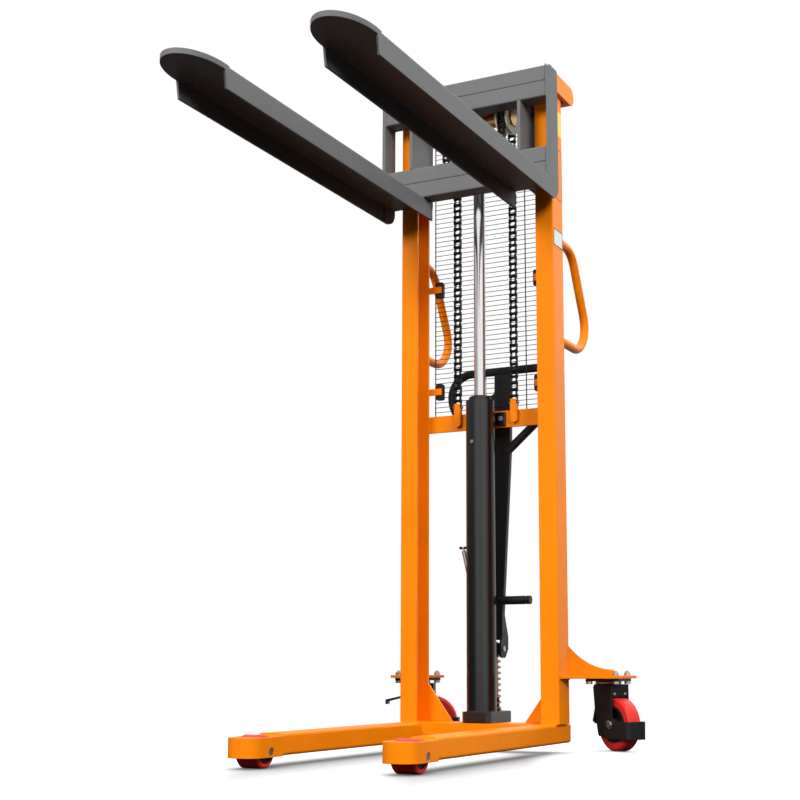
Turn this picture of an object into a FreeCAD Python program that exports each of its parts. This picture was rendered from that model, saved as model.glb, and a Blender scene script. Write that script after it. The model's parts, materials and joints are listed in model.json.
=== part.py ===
import FreeCAD, Part
import math
import os

V = FreeCAD.Vector
X_AXIS = V(1, 0, 0)
Y_AXIS = V(0, 1, 0)
Z_AXIS = V(0, 0, 1)
SIDES = {"left": -1, "right": 1}

# General fits
running_gap = 0.05
loose_gap = 0.3
overrun = 5.0
point_gap = 1e-6

# Mast posts, a channel on each side that opens inwards
mast_width = 498.0
post_depth = 82.0
post_flange = 54.0
flange_wall = 8.0
web_wall = 7.0
post_corner = 4.0

# Legs, square tubes along the floor
leg_x = 207.5
leg_width = 68.0
leg_height = 53.5
leg_bottom = 26.5
leg_wall = 5.0
leg_corner = 8.0
leg_rear = 66.0
leg_top = leg_bottom + leg_height

# Load wheels and the noses that hold them
load_wheel_radius = 39.5
load_wheel_width = 62.0
load_tyre_wall = 11.0
load_tyre_chamfer = 4.0
load_hub_recess = 4.0
load_hub_boss = 17.0
load_axle_radius = 10.0
load_axle_y = -853.0
load_axle_inset = 1.5
nose_wall = 8.0
nose_top_wall = 6.0
nose_height = 47.5
nose_corner = 40.0
nose_shoulder = 15.0
wheel_side_gap = 8.0
wheel_front_gap = 24.0
wheel_rear_gap = 5.0
window_margin = 4.0
window_length = 72.0
nose_width = load_wheel_width + 2 * (wheel_side_gap + nose_wall)
nose_front = load_axle_y - load_wheel_radius - wheel_front_gap - nose_wall
nose_cavity_rear = load_axle_y + load_wheel_radius + wheel_rear_gap
nose_rear = nose_cavity_rear + nose_wall + nose_shoulder

# Line of the lift cylinder and its chains
cylinder_y = -10.0
pulley_pitch_radius = 39.0
chain_depth = 17.4
chain_beam_gap = 4.3
chain_outer_radius = pulley_pitch_radius + chain_depth / 2
chain_inner_radius = pulley_pitch_radius - chain_depth / 2

# Carriage at the top of its travel, as photographed
carriage_width = 550.0
carriage_front = -120.0
beam_wall = 5.0
beam_groove = 2.5
beam_corner = 5.0
top_beam_height = 95.0
lower_beam_height = 95.0
carriage_top = 1975.0
carriage_height = 340.0
side_plate_wall = 10.0
side_plate_lead = 2.0
side_plate_tail = 5.0
side_plate_corner = 8.0
side_plate_heel = 42.0
inner_plate_x = 172.7
inner_plate_wall = 10.0
inner_plate_rear = 20.0
inner_plate_gap = 14.0
inner_plate_corner = 14.0
beam_rear = cylinder_y - chain_outer_radius - chain_beam_gap
side_inner = carriage_width / 2 - side_plate_wall

# Forks, inverted channels with a flat rounded tip
fork_width = 142.0
fork_height = 59.0
fork_wall = 10.0
skirt_wall = 6.0
fork_bend = 8.0
fork_reach = 1270.0
tip_length = 123.0
skirt_rake = 10.0
tip_overlap = 20.0
tip_wall = 14.0
heel_step = 2.0
heel_lead = 3.0
fork_top = carriage_top - carriage_height
fork_bottom = fork_top - fork_height
skirt_reach = fork_reach - tip_length
fork_centre = (carriage_width - fork_width) / 2
fork_floor_gap = 3.0
lift_travel = fork_top - fork_wall - fork_floor_gap - leg_top
lower_beam_bottom = fork_top - heel_step
lower_beam_top = lower_beam_bottom + lower_beam_height

# Mast rollers on stub axles of the inner plates
roller_width = 36.0
roller_inset = 6.0
roller_chamfer = 2.0
stub_radius = 12.5
stub_tail = 3.0
roller_low_rise = 55.0
roller_high_drop = 40.0
roller_radius = post_depth / 2 - flange_wall - loose_gap
roller_outer = mast_width / 2 - web_wall - roller_inset
roller_inner = roller_outer - roller_width

# Top cap of the mast
cap_overhang = 12.0
cap_drop = 46.0
cap_height = 57.0
cap_rear = 116.0
cap_wall = 5.0
cap_top_radius = 28.0
cap_heel_radius = 28.0
cap_lip = 50.0
cap_bottom = carriage_top - cap_drop
cap_front = -post_depth / 2 - cap_wall
cap_top = cap_bottom + cap_height
post_top = cap_top - cap_wall

# Base crossmember and the triangular gussets above it
base_gap = 5.0
base_rear = 60.0
base_wall = 8.0
base_drop = 46.0
gusset_wall = 8.0
gusset_reach = 80.0
gusset_rise = 110.0
base_front = beam_rear + base_gap
base_half = leg_x - leg_width / 2

# Crossbar with the chain anchor lugs
crossbar_bottom = 940.0
crossbar_height = 50.0
crossbar_wall = 8.0
crossbar_front = 35.0
lug_width = 22.0
lug_wall = 12.0
lug_foot = 11.0
lug_height = 71.0
lug_bottom = crossbar_bottom + lug_foot
lug_top = lug_bottom + lug_height

# Lift cylinder
tank_radius = 43.0
tank_wall = 4.0
tank_top = 1016.0
barrel_radius = 30.0
barrel_bore = 24.0
gland_depth = 16.0
gland_collar_radius = 34.0
gland_collar_height = 13.0
gland_chamfer = 4.0
rod_radius = 18.0
piston_height = 30.0
piston_top_gap = 15.0
saddle_half_width = 63.0
saddle_height = 40.0
saddle_wall = 8.0
saddle_bolt_x = 50.0
head_sides = 6
bolt_head_radius = 8.0
bolt_head_height = 6.0
bleed_z = 889.0
bleed_radius = 6.0
bleed_length = 5.0
bleed_angle = 262.0

# Pump block on the base
block_half_width = 45.0
block_height = 32.0
block_rear = 108.0
block_edge = 12.0
block_top = leg_top + block_height

# Chain head on the rod
pulley_drop = 97.0
chain_x = 92.0
chain_width = 25.0
chain_side_gap = 1.5
pulley_flange_wall = 5.0
pulley_flange_rise = 2.0
pulley_lighten_radius = 5.0
pulley_lighten_count = 6
crosshead_half_width = 26.0
crosshead_depth = 48.0
crosshead_height = 52.0
crosshead_edge = 5.0
shaft_radius = 15.0
sleeve_radius = 19.0
sleeve_gap = 0.5
keeper_radius = 22.0
keeper_wall = 4.0
chain_lug_drop = 38.0
chain_lug_height = 40.0
pulley_z = carriage_top - pulley_drop
pulley_half_width = chain_width / 2 + chain_side_gap + pulley_flange_wall
groove_radius = chain_inner_radius - loose_gap
pulley_radius = chain_outer_radius + pulley_flange_rise
crosshead_bottom = pulley_z - crosshead_height / 2
chain_lug_top = lower_beam_top - chain_lug_drop

# Push handles
handle_radius = 13.0
handle_x = 234.0
handle_top = 1486.0
handle_drop = 300.0
handle_shoulder = 146.0
handle_elbow_y = 271.0
handle_elbow_rise = 71.0
handle_heel = 195.0
handle_shoulder_bend = 80.0
handle_elbow_bend = 75.0
handle_heel_bend = 95.0
handle_bottom = handle_top - handle_drop
handle_elbow_z = handle_bottom + handle_elbow_rise

# Guard screen behind the mast
screen_half_width = 183.0
screen_bottom_gap = 2.0
screen_top_gap = 37.0
screen_rows = 60
screen_wire = 3.0
screen_front = 57.0
screen_columns_share = (0.0, 0.412, 0.825, 1.0)
clip_rise = 76.0
clip_top_gap = 219.0
clip_count = 3
clip_inner = 154.0
clip_outer = 216.0
clip_height = 20.0
clip_wall = 3.5
pad_inner = 150.0
pad_width = 25.0
pad_height = 50.0
pad_corner = 6.0
screen_bottom = crossbar_bottom + crossbar_height + screen_bottom_gap
screen_pitch = (cap_bottom - screen_top_gap - screen_bottom) / screen_rows
clip_bottom = screen_bottom + clip_rise
clip_pitch = (cap_bottom - clip_top_gap - clip_bottom) / (clip_count - 1)

# Pump lever with its cheeks, loop handle and foot pedal
pivot_y = 60.0
pivot_z = 290.0
pivot_radius = 8.0
pivot_tail = 4.0
ear_inner = 22.0
ear_wall = 8.0
ear_rise = 28.0
ear_tail = 12.0
ear_corner = 10.0
cheek_inner = 32.0
cheek_wall = 6.0
cheek_rise = 107.0
cheek_heel = 37.0
cheek_toe = 16.0
cheek_drop = 26.0
cheek_shin = 36.0
cheek_corner = 12.0
lever_y = 62.0
lever_lean_angle = 2.0
arm_wall = 16.0
arm_rise = 26.0
arm_half_width = 58.0
notch_x = 5.0
notch_drop = 74.0
notch_corner = 13.0
loop_radius = 12.5
loop_half_width = 171.5
loop_top = 1124.0
loop_bend = 66.0
hip_drop = 110.0
hip_bend = 90.0
root_drop = 142.5
loop_root_half_width = 42.0
waist_rise = 8.5
pedal_reach = 123.0
pedal_rise = 141.0
pedal_root = 26.0
pedal_groove_inset = 13.0
pedal_groove_width = 5.0
pedal_groove_depth = 2.0
cheek_top = pivot_z + cheek_rise
arm_bottom = pivot_z + arm_rise
arm_foot_half_width = cheek_inner + cheek_wall
loop_hip = loop_top - hip_drop
loop_root = loop_hip - root_drop
loop_x = (notch_x + arm_half_width) / 2
brace_slope_share = root_drop / (loop_x + loop_half_width - loop_root_half_width)
left_root = loop_hip - brace_slope_share * (loop_half_width - loop_x - loop_root_half_width)
arm_waist = loop_root + waist_rise
pedal_z = pivot_z + pedal_rise

# Pump plunger and return spring
plunger_y = 86.0
plunger_radius = 9.0
plunger_foot = 18.0
plunger_cap_radius = 19.0
plunger_cap_height = 8.0
plunger_lash = 1.2
plunger_bore_depth = 12.0
pusher_radius = 9.0
pusher_rise = 5.3
boss_radius = 12.0
boss_height = 38.0
spring_wire = 4.0
spring_outer_radius = 18.0
spring_turns = 9
turn_steps = 4
turn_samples = 24
apart_samples = 12
spring_end_gap = 0.9
pusher_z = pivot_z + pusher_rise
plunger_top = pusher_z - pusher_radius - plunger_lash

# Release lever beside the tank
release_y = 46.0
release_foot_x = -36.0
release_foot_rise = 12.0
release_bend_x = -57.0
release_bend_z = 465.0
release_top_x = -84.0
release_top_z = 588.0
release_foot_radius = 4.5
release_tip_radius = 6.5
release_eye_radius = 7.0
release_eye_width = 11.6
release_pin_radius = 3.0
release_ear_wall = 4.0
knob_radius = 3.0
knob_half_length = 11.0
knob_neck = 9.0

# Caster brackets behind the posts
bracket_bottom = 205.0
bracket_wall = 8.0
bracket_front = -36.0
bracket_width = 129.0
bracket_shoulder = 140.0
bracket_rear = 262.0
bracket_corner = 12.0
brace_wall = 8.0
brace_rise = 86.0
brace_tail_rise = 17.0
brace_end_x = 325.0
brace_end_y = 195.0
brace_sag_share = 0.28

# Swivel casters
swivel_x = 311.0
swivel_y = 195.0
caster_angle = {"left": 20.0, "right": -33.0}
caster_radius = 75.0
caster_width = 44.0
caster_trail = 46.0
caster_tyre_wall = 23.0
caster_tread_chamfer = 6.0
caster_hub_width = 50.0
caster_hub_boss = 17.0
caster_hub_web = 14.0
caster_rim_wall = 8.0
caster_axle_radius = 6.0
caster_axle_head = 10.0
caster_axle_head_height = 5.0
caster_plate_x = 100.0
caster_plate_y = 128.0
caster_plate_wall = 8.0
caster_plate_corner = 10.0
caster_bolt_x = 80.0
caster_bolt_y = 105.0
caster_bolt_radius = 5.0
caster_nut_radius = 9.5
caster_nut_height = 8.0
caster_dome_radius = 7.0
raceway_radius = 36.0
raceway_height = 8.0
kingpin_radius = 8.0
kingpin_nut_radius = 13.0
kingpin_nut_height = 10.0
crown_wall = 8.0
crown_lead = 32.0
crown_tail = 52.0
crown_corner = 8.0
crown_lip_wall = 6.0
crown_lip_gap = 3.0
fork_leg_inner = 27.0
fork_leg_wall = 5.0
fork_leg_toe = 57.0
fork_leg_heel = 22.0
fork_leg_foot = 34.0
fork_leg_shoulder = 16.0
fork_leg_knee = 71.0
fork_leg_knee_rise = 40.0
fork_leg_corner = 8.0
guard_wall = 3.0
guard_gap = 4.0
guard_tail = 24.0
guard_bottom = 35.0
guard_height = 50.0
guard_corner = 12.0
brake_pivot_lead = 24.0
brake_pivot_drop = 25.0
brake_pin_radius = 4.0
brake_eye_radius = 8.0
brake_half_width = 25.0
brake_reach = 74.0
brake_fall = 17.0
brake_wall = 6.0
brake_lip = 14.0
brake_angle = {"left": 0.0, "right": 60.0}
caster_plate_bottom = bracket_bottom - caster_plate_wall
crown_top = caster_plate_bottom - raceway_height - loose_gap
crown_bottom = crown_top - crown_wall
fork_leg_outer = fork_leg_inner + fork_leg_wall
guard_reach = caster_trail + caster_radius + guard_gap + guard_wall

# The mast stands behind the middle of the whole outline
mast_y = (fork_reach - bracket_rear) / 2


# Drawing helpers
def block(x0, x1, y0, y1, z0, z1):
    """Box between two corners, whichever way round the X values come."""
    return Part.makeBox(abs(x1 - x0), y1 - y0, z1 - z0, V(min(x0, x1), y0, z0))


def bar(start, end, radius):
    """Round bar from one point to another."""
    return Part.makeCylinder(radius, start.distanceToPoint(end), start, end - start)


def ring(start, end, outer, inner):
    """Round tube from one point to another."""
    return bar(start, end, outer).cut(bar(start, end, inner))


def rounded_edges(points, radii, closed=True):
    """Straight runs through the points, with each corner turned on its own radius."""
    corners = []
    for index, (point, radius) in enumerate(zip(points, radii)):
        if not radius:
            corners.append((point, None, point))
            continue
        back = (points[index - 1] - point).normalize()
        ahead = (points[(index + 1) % len(points)] - point).normalize()
        half = back.getAngle(ahead) / 2
        inward = (back + ahead).normalize()
        reach = radius / math.tan(half)
        middle = point + inward * (radius / math.sin(half) - radius)
        corners.append((point + back * reach, middle, point + ahead * reach))
    edges = []
    for index, (start, middle, end) in enumerate(corners):
        if middle:
            edges.append(Part.Arc(start, middle, end).toShape())
        if closed or index + 1 < len(corners):
            following = corners[(index + 1) % len(corners)][0]
            if end.distanceToPoint(following) > point_gap:
                edges.append(Part.LineSegment(end, following).toShape())
    return edges


def plate(points, radii, sweep):
    """Flat outline with rounded corners, swept to a thickness."""
    return Part.Face(Part.Wire(rounded_edges(points, radii))).extrude(sweep)


def bent_bar(points, radii, radius):
    """Round bar along straight runs joined by bends."""
    path = Part.Wire(rounded_edges(points, radii, closed=False))
    circle = Part.Wire(Part.makeCircle(radius, points[0], points[1] - points[0]))
    return path.makePipeShell([circle], True, False)


def turned(profile, centre, along):
    """Profile of (distance along, radius) points turned about an axis through the centre."""
    points = [V(distance, 0, radius) for distance, radius in profile]
    face = Part.Face(Part.makePolygon(points + points[:1]))
    solid = face.revolve(V(), X_AXIS, 360)
    solid.Placement = FreeCAD.Placement(centre, FreeCAD.Rotation(X_AXIS, along))
    return solid


def fused(first, *others):
    """One solid from several that meet."""
    return first.fuse(list(others)).removeSplitter()


# Mast and chassis
def mast_post(side):
    outer = side * mast_width / 2
    web = outer - side * web_wall
    inner = outer - side * post_flange
    front = -post_depth / 2
    rear = post_depth / 2
    outline = [
        (outer, front), (inner, front), (inner, front + flange_wall), (web, front + flange_wall),
        (web, rear - flange_wall), (inner, rear - flange_wall), (inner, rear), (outer, rear),
    ]
    radii = [post_corner, 0, 0, 0, 0, 0, 0, post_corner]
    return plate([V(x, y, leg_top) for x, y in outline], radii, Z_AXIS * (post_top - leg_top))


def mast_cap():
    half = mast_width / 2 + cap_overhang

    def shell(x, inset):
        outline = [
            (cap_front + inset, cap_bottom + inset), (cap_front + inset, cap_top - inset),
            (cap_rear - inset, cap_top - inset), (cap_rear - inset, cap_bottom + inset),
        ]
        radii = [0, 0, cap_top_radius - inset, cap_heel_radius - inset]
        return plate([V(-x, y, z) for y, z in outline], radii, X_AXIS * (2 * x))

    inner = mast_width / 2
    mouth = block(-inner, inner, cap_front + cap_wall, cap_rear - cap_lip,
                  cap_bottom - overrun, cap_bottom + cap_wall + overrun)
    return shell(half, 0).cut(shell(inner, cap_wall)).cut(mouth)


def mast_crossbar():
    half = mast_width / 2 - post_flange
    cross = block(-half, half, crossbar_front, crossbar_front + crossbar_wall,
                  crossbar_bottom, crossbar_bottom + crossbar_height)
    lugs = []
    for side in SIDES.values():
        left = side * chain_x - lug_width / 2
        right = side * chain_x + lug_width / 2
        outline = [(left, lug_bottom), (right, lug_bottom), (right, lug_top), (left, lug_top)]
        corner = lug_width / 2 - running_gap
        points = [V(x, crossbar_front, z) for x, z in outline]
        lugs.append(plate(points, [corner, corner, 0, 0], Y_AXIS * -lug_wall))
    return Part.makeCompound([cross] + lugs)


def leg(side):
    def tube(inset, rear, front):
        half = leg_width / 2 - inset
        low = leg_bottom + inset
        high = leg_top - inset
        middle = side * leg_x
        outline = [(middle - half, low), (middle + half, low), (middle + half, high), (middle - half, high)]
        corner = leg_corner - inset
        return plate([V(x, rear, z) for x, z in outline], [corner] * 4, Y_AXIS * (front - rear))

    return tube(0, leg_rear, nose_rear).cut(tube(leg_wall, leg_rear - leg_wall, nose_rear - overrun))


def nose(side):
    middle = side * leg_x
    wide = nose_width / 2
    narrow = leg_width / 2
    shoulder = nose_rear - nose_shoulder
    outline = [(-narrow, nose_rear), (-wide, shoulder), (-wide, nose_front),
               (wide, nose_front), (wide, shoulder), (narrow, nose_rear)]
    points = [V(middle + x, y, leg_bottom) for x, y in outline]
    body = plate(points, [0, 0, nose_corner, nose_corner, 0, 0], Z_AXIS * nose_height)
    clear = wide - nose_wall
    front = nose_front + nose_wall
    corner = nose_corner - nose_wall
    outline = [(-clear, nose_cavity_rear), (-clear, front), (clear, front), (clear, nose_cavity_rear)]
    points = [V(middle + x, y, leg_bottom) for x, y in outline]
    cavity = plate(points, [0, corner, corner, 0], Z_AXIS * (nose_height - nose_top_wall))
    half = load_wheel_width / 2 + window_margin
    top = leg_bottom + nose_height
    reach = window_length / 2
    window = block(middle - half, middle + half, load_axle_y - reach, load_axle_y + reach,
                   top - nose_top_wall - overrun, top + overrun)
    hole = bar(V(middle - wide - overrun, load_axle_y, load_wheel_radius),
               V(middle + wide + overrun, load_axle_y, load_wheel_radius), load_axle_radius + running_gap)
    return body.cut(cavity).cut(window).cut(hole)


def base_crossmember():
    outer = block(-base_half, base_half, base_front, base_rear, leg_top - base_drop, leg_top)
    inner = block(-base_half, base_half, base_front + base_wall, base_rear - base_wall,
                  leg_top - base_drop, leg_top - base_wall)
    return outer.cut(inner)


def post_gusset(side):
    foot = side * (mast_width / 2 - post_flange)
    rear = post_depth / 2
    points = [V(foot, rear, leg_top), V(foot - side * gusset_reach, rear, leg_top),
              V(foot, rear, leg_top + gusset_rise)]
    return plate(points, [0, 0, 0], Y_AXIS * -gusset_wall)


# Push handles and guard screen
def push_handle(side):
    outline = [
        (post_depth / 2, handle_top), (handle_shoulder, handle_top), (handle_elbow_y, handle_elbow_z),
        (handle_heel, handle_bottom), (post_depth / 2, handle_bottom),
    ]
    radii = [0, handle_shoulder_bend, handle_elbow_bend, handle_heel_bend, 0]
    return bent_bar([V(side * handle_x, y, z) for y, z in outline], radii, handle_radius)


def guard_screen():
    def frame(x0, x1, z0, z1):
        corners = [V(x0, screen_front, z0), V(x1, screen_front, z0),
                   V(x1, screen_front, z1), V(x0, screen_front, z1)]
        return Part.makePolygon(corners + corners[:1])

    wire = screen_wire / 2
    columns = [screen_half_width * (2 * share - 1) for share in screen_columns_share]
    rows = [screen_bottom + screen_pitch * row for row in range(screen_rows + 1)]
    wires = [frame(columns[0] - wire, columns[-1] + wire, rows[0] - wire, rows[-1] + wire)]
    for left, right in zip(columns, columns[1:]):
        for low, high in zip(rows, rows[1:]):
            wires.append(frame(left + wire, right - wire, low + wire, high - wire))
    return Part.makeFace(wires, "Part::FaceMakerBullseye").extrude(Y_AXIS * screen_wire)


def clip_places():
    """Side and height of each clip of the guard screen."""
    return [(side, clip_bottom + clip_pitch * row) for side in SIDES.values() for row in range(clip_count)]


def guard_clip(side, z):
    front = post_depth / 2
    return block(side * clip_inner, side * clip_outer, front, front + clip_wall,
                 z - clip_height / 2, z + clip_height / 2)


def guard_pad(side, z):
    front = post_depth / 2 + clip_wall
    inner = side * pad_inner
    outer = side * (pad_inner + pad_width)
    low = z - pad_height / 2
    high = z + pad_height / 2
    points = [V(inner, front, low), V(outer, front, low), V(outer, front, high), V(inner, front, high)]
    return plate(points, [pad_corner] * 4, Y_AXIS * (screen_front - front))


# Lift cylinder
def tank_tube():
    foot = V(0, cylinder_y, block_top)
    head = V(0, cylinder_y, tank_top)
    solid = bar(foot, head, tank_radius)
    rear = pivot_y + ear_tail
    for side in SIDES.values():
        outline = [(cylinder_y, pivot_z - ear_rise), (rear, pivot_z - ear_tail),
                   (rear, pivot_z + ear_tail), (cylinder_y, pivot_z + ear_rise)]
        points = [V(side * ear_inner, y, z) for y, z in outline]
        solid = fused(solid, plate(points, [0, ear_corner, ear_corner, 0], X_AXIS * (side * ear_wall)))
    ear_outer = ear_inner + ear_wall
    hole = bar(V(-ear_outer, pivot_y, pivot_z), V(ear_outer, pivot_y, pivot_z), pivot_radius)
    return solid.cut(bar(foot, head, tank_radius - tank_wall)).cut(hole)


def cylinder_barrel():
    foot = V(0, cylinder_y, block_top)
    head = V(0, cylinder_y, tank_top - gland_depth)
    return ring(foot, head, barrel_radius, barrel_bore)


def gland_cap():
    bore = rod_radius + running_gap
    inside = tank_radius - tank_wall
    collar_top = tank_top + gland_collar_height
    profile = [
        (tank_top - gland_depth, bore), (tank_top - gland_depth, inside), (tank_top, inside),
        (tank_top, gland_collar_radius), (collar_top - gland_chamfer, gland_collar_radius),
        (collar_top, gland_collar_radius - gland_chamfer), (collar_top, bore),
    ]
    return turned(profile, V(0, cylinder_y, 0), Z_AXIS)


def piston_rod():
    top = tank_top - gland_depth - piston_top_gap
    head = barrel_bore - running_gap
    profile = [(top - piston_height, 0), (top - piston_height, head), (top, head), (top, rod_radius),
               (crosshead_bottom, rod_radius), (crosshead_bottom, 0)]
    return turned(profile, V(0, cylinder_y, 0), Z_AXIS)


def tube_saddle():
    middle = crossbar_bottom + crossbar_height / 2
    body = block(-saddle_half_width, saddle_half_width, crossbar_front - saddle_wall, crossbar_front,
                 middle - saddle_height / 2, middle + saddle_height / 2)
    low = V(0, cylinder_y, middle - saddle_height)
    high = V(0, cylinder_y, middle + saddle_height)
    return body.cut(bar(low, high, tank_radius))


def hexagon(centre, along, radius, height):
    """Six-sided bolt head or nut that stands on a face."""
    turns = [2 * math.pi * k / head_sides for k in range(head_sides)]
    points = [V(0, radius * math.cos(turn), radius * math.sin(turn)) for turn in turns]
    solid = plate(points, [0] * head_sides, X_AXIS * height)
    solid.Placement = FreeCAD.Placement(centre, FreeCAD.Rotation(X_AXIS, along))
    return solid


def cylinder_fasteners():
    middle = crossbar_bottom + crossbar_height / 2
    solids = []
    for side in SIDES.values():
        face = V(side * saddle_bolt_x, crossbar_front - saddle_wall, middle)
        solids.append(hexagon(face, Y_AXIS * -1, bolt_head_radius, bolt_head_height))
    out = V(math.cos(math.radians(bleed_angle)), math.sin(math.radians(bleed_angle)), 0)
    seat = V(0, cylinder_y, bleed_z) + out * (tank_radius - tank_wall / 2)
    tank = bar(V(0, cylinder_y, block_top), V(0, cylinder_y, tank_top), tank_radius)
    solids.append(hexagon(seat, out, bleed_radius, bleed_length + tank_wall / 2).cut(tank))
    return solids


# Pump
def pump_block():
    body = block(-block_half_width, block_half_width, base_front, block_rear, leg_top, block_top)
    upright = [edge for edge in body.Edges if abs(edge.tangentAt(edge.FirstParameter).z) > 1 - point_gap]
    body = body.makeChamfer(block_edge, upright)
    boss = bar(V(0, plunger_y, block_top), V(0, plunger_y, block_top + boss_height), boss_radius)
    body = fused(body, boss)
    foot = V(0, plunger_y, block_top - plunger_bore_depth)
    mouth = V(0, plunger_y, block_top + boss_height)
    body = body.cut(bar(foot, mouth, plunger_radius + running_gap))
    half = release_eye_width / 2 + loose_gap
    axis_z = block_top + release_foot_rise
    for side in SIDES.values():
        inner = release_y + side * half
        outer = inner + side * release_ear_wall
        ear = block(release_foot_x - release_eye_radius, release_foot_x + release_eye_radius,
                    min(inner, outer), max(inner, outer), block_top, axis_z + release_eye_radius)
        body = fused(body, ear)
    reach = half + release_ear_wall
    pin = bar(V(release_foot_x, release_y - reach, axis_z), V(release_foot_x, release_y + reach, axis_z),
              release_pin_radius)
    return fused(body, pin)


def plunger():
    foot = block_top + plunger_foot
    collar = plunger_top - plunger_cap_height
    profile = [(foot, 0), (foot, plunger_radius), (collar, plunger_radius), (collar, plunger_cap_radius),
               (plunger_top, plunger_cap_radius), (plunger_top, 0)]
    return turned(profile, V(0, plunger_y, 0), Z_AXIS)


def arc_from(start, direction, end):
    """Arc that leaves the start in the given direction and passes through the end."""
    chord = end - start
    across = (chord - direction * chord.dot(direction)).normalize()
    radius = chord.dot(chord) / (2 * chord.dot(across))
    centre = start + across * radius
    outward = ((start + end) / 2 - centre).normalize()
    return Part.Arc(start, centre + outward * radius, end).toShape()


def biarc(start, start_way, end, end_way):
    """Two arcs that join smoothly and keep the directions at both ends."""
    chord = end - start
    both = chord.dot(start_way + end_way)
    spread = 2 * (1 - start_way.dot(end_way))
    reach = (math.sqrt(both * both + spread * chord.dot(chord)) - both) / spread
    first = start + start_way * reach
    second = end - end_way * reach
    joint = (first + second) / 2
    return [arc_from(start, start_way, joint), arc_from(joint, (second - first).normalize(), end)]


def pump_spring():
    mean_radius = spring_outer_radius - spring_wire / 2
    low = block_top + spring_wire / 2 + loose_gap
    high = plunger_top - plunger_cap_height - spring_wire / 2 - loose_gap
    end_step = (spring_wire + spring_end_gap) / turn_steps
    count = turn_steps * spring_turns
    step = (high - low - 2 * turn_steps * end_step) / count
    steps = [end_step] * turn_steps + [step] * count + [end_step] * turn_steps
    points = []
    ways = []
    height = low
    for k in range(len(steps) + 1):
        turn = 2 * math.pi * k / turn_steps
        slope = (steps[max(k - 1, 0)] + steps[min(k, len(steps) - 1)]) * turn_steps / (2 * math.pi) / 2
        points.append(V(mean_radius * math.cos(turn), plunger_y + mean_radius * math.sin(turn), height))
        ways.append(V(-mean_radius * math.sin(turn), mean_radius * math.cos(turn), slope).normalize())
        height += steps[min(k, len(steps) - 1)]
    edges = []
    for k in range(len(steps)):
        edges += biarc(points[k], ways[k], points[k + 1], ways[k + 1])
    path = Part.Wire(edges)
    circle = Part.Wire(Part.makeCircle(spring_wire / 2, points[0], ways[0]))
    samples = path.discretize(Number=turn_samples * (spring_turns + 2))
    nearest = min(first.distanceToPoint(second)
                  for k, first in enumerate(samples) for second in samples[k + apart_samples:])
    print("spring least gap to itself, mm:", round(nearest - spring_wire, 2))
    return path.makePipeShell([circle], True, False)


def leaned(shape):
    """The shape, drawn upright, as the lever leans back at rest."""
    shape.rotate(V(0, pivot_y, pivot_z), X_AXIS, -lever_lean_angle)
    return shape


def lever_loop():
    left = loop_x - loop_half_width
    right = loop_x + loop_half_width
    outline = [(-loop_root_half_width, left_root), (left, loop_hip), (left, loop_top), (right, loop_top),
               (right, loop_hip), (loop_root_half_width, loop_root)]
    radii = [0, hip_bend, loop_bend, loop_bend, hip_bend, 0]
    return leaned(bent_bar([V(x, lever_y, z) for x, z in outline], radii, loop_radius))


def foot_pedal():
    groove = pedal_reach - pedal_groove_inset
    neck = loop_radius - pedal_groove_depth
    profile = [
        (pedal_root, 0), (pedal_root, loop_radius), (groove - pedal_groove_width, loop_radius),
        (groove - pedal_groove_width, neck), (groove, neck), (groove, loop_radius),
        (pedal_reach, loop_radius), (pedal_reach, 0),
    ]
    return leaned(turned(profile, V(0, lever_y, pedal_z), X_AXIS))


def lever_arm(loop, pedal):
    rear = lever_y + arm_wall / 2
    front = lever_y - arm_wall / 2
    notch = loop_top - notch_drop
    outline = [
        (-arm_foot_half_width, arm_bottom), (arm_foot_half_width, arm_bottom),
        (arm_foot_half_width, cheek_top), (arm_half_width, arm_waist), (arm_half_width, loop_top),
        (notch_x, loop_top), (notch_x, notch), (-arm_half_width, notch), (-arm_half_width, arm_waist),
        (-arm_foot_half_width, cheek_top),
    ]
    radii = [0, 0, 0, 0, 0, 0, notch_corner, notch_corner, 0, 0]
    arm = leaned(plate([V(x, front, z) for x, z in outline], radii, Y_AXIS * arm_wall))
    toe = pivot_y - cheek_toe
    heel = pivot_y + cheek_heel
    for side in SIDES.values():
        outline = [
            (front, cheek_top), (front, pivot_z + cheek_shin), (toe, pivot_z + cheek_toe),
            (toe, pivot_z - cheek_drop), (pivot_y + cheek_toe, pivot_z - cheek_drop), (heel, pivot_z),
            (heel, pivot_z + cheek_shin), (rear, cheek_top),
        ]
        points = [V(side * cheek_inner, y, z) for y, z in outline]
        radii = [0, cheek_corner, cheek_corner, cheek_corner, cheek_corner, cheek_corner, cheek_corner, 0]
        arm = fused(arm, plate(points, radii, X_AXIS * (side * cheek_wall)))
    outer = cheek_inner + cheek_wall
    arm = fused(arm, bar(V(-outer, plunger_y, pusher_z), V(outer, plunger_y, pusher_z), pusher_radius))
    hole = bar(V(-outer, pivot_y, pivot_z), V(outer, pivot_y, pivot_z), pivot_radius + running_gap)
    return arm.cut(hole).cut(loop).cut(pedal)


def pivot_pin():
    half = cheek_inner + cheek_wall + pivot_tail
    return bar(V(-half, pivot_y, pivot_z), V(half, pivot_y, pivot_z), pivot_radius)


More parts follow.
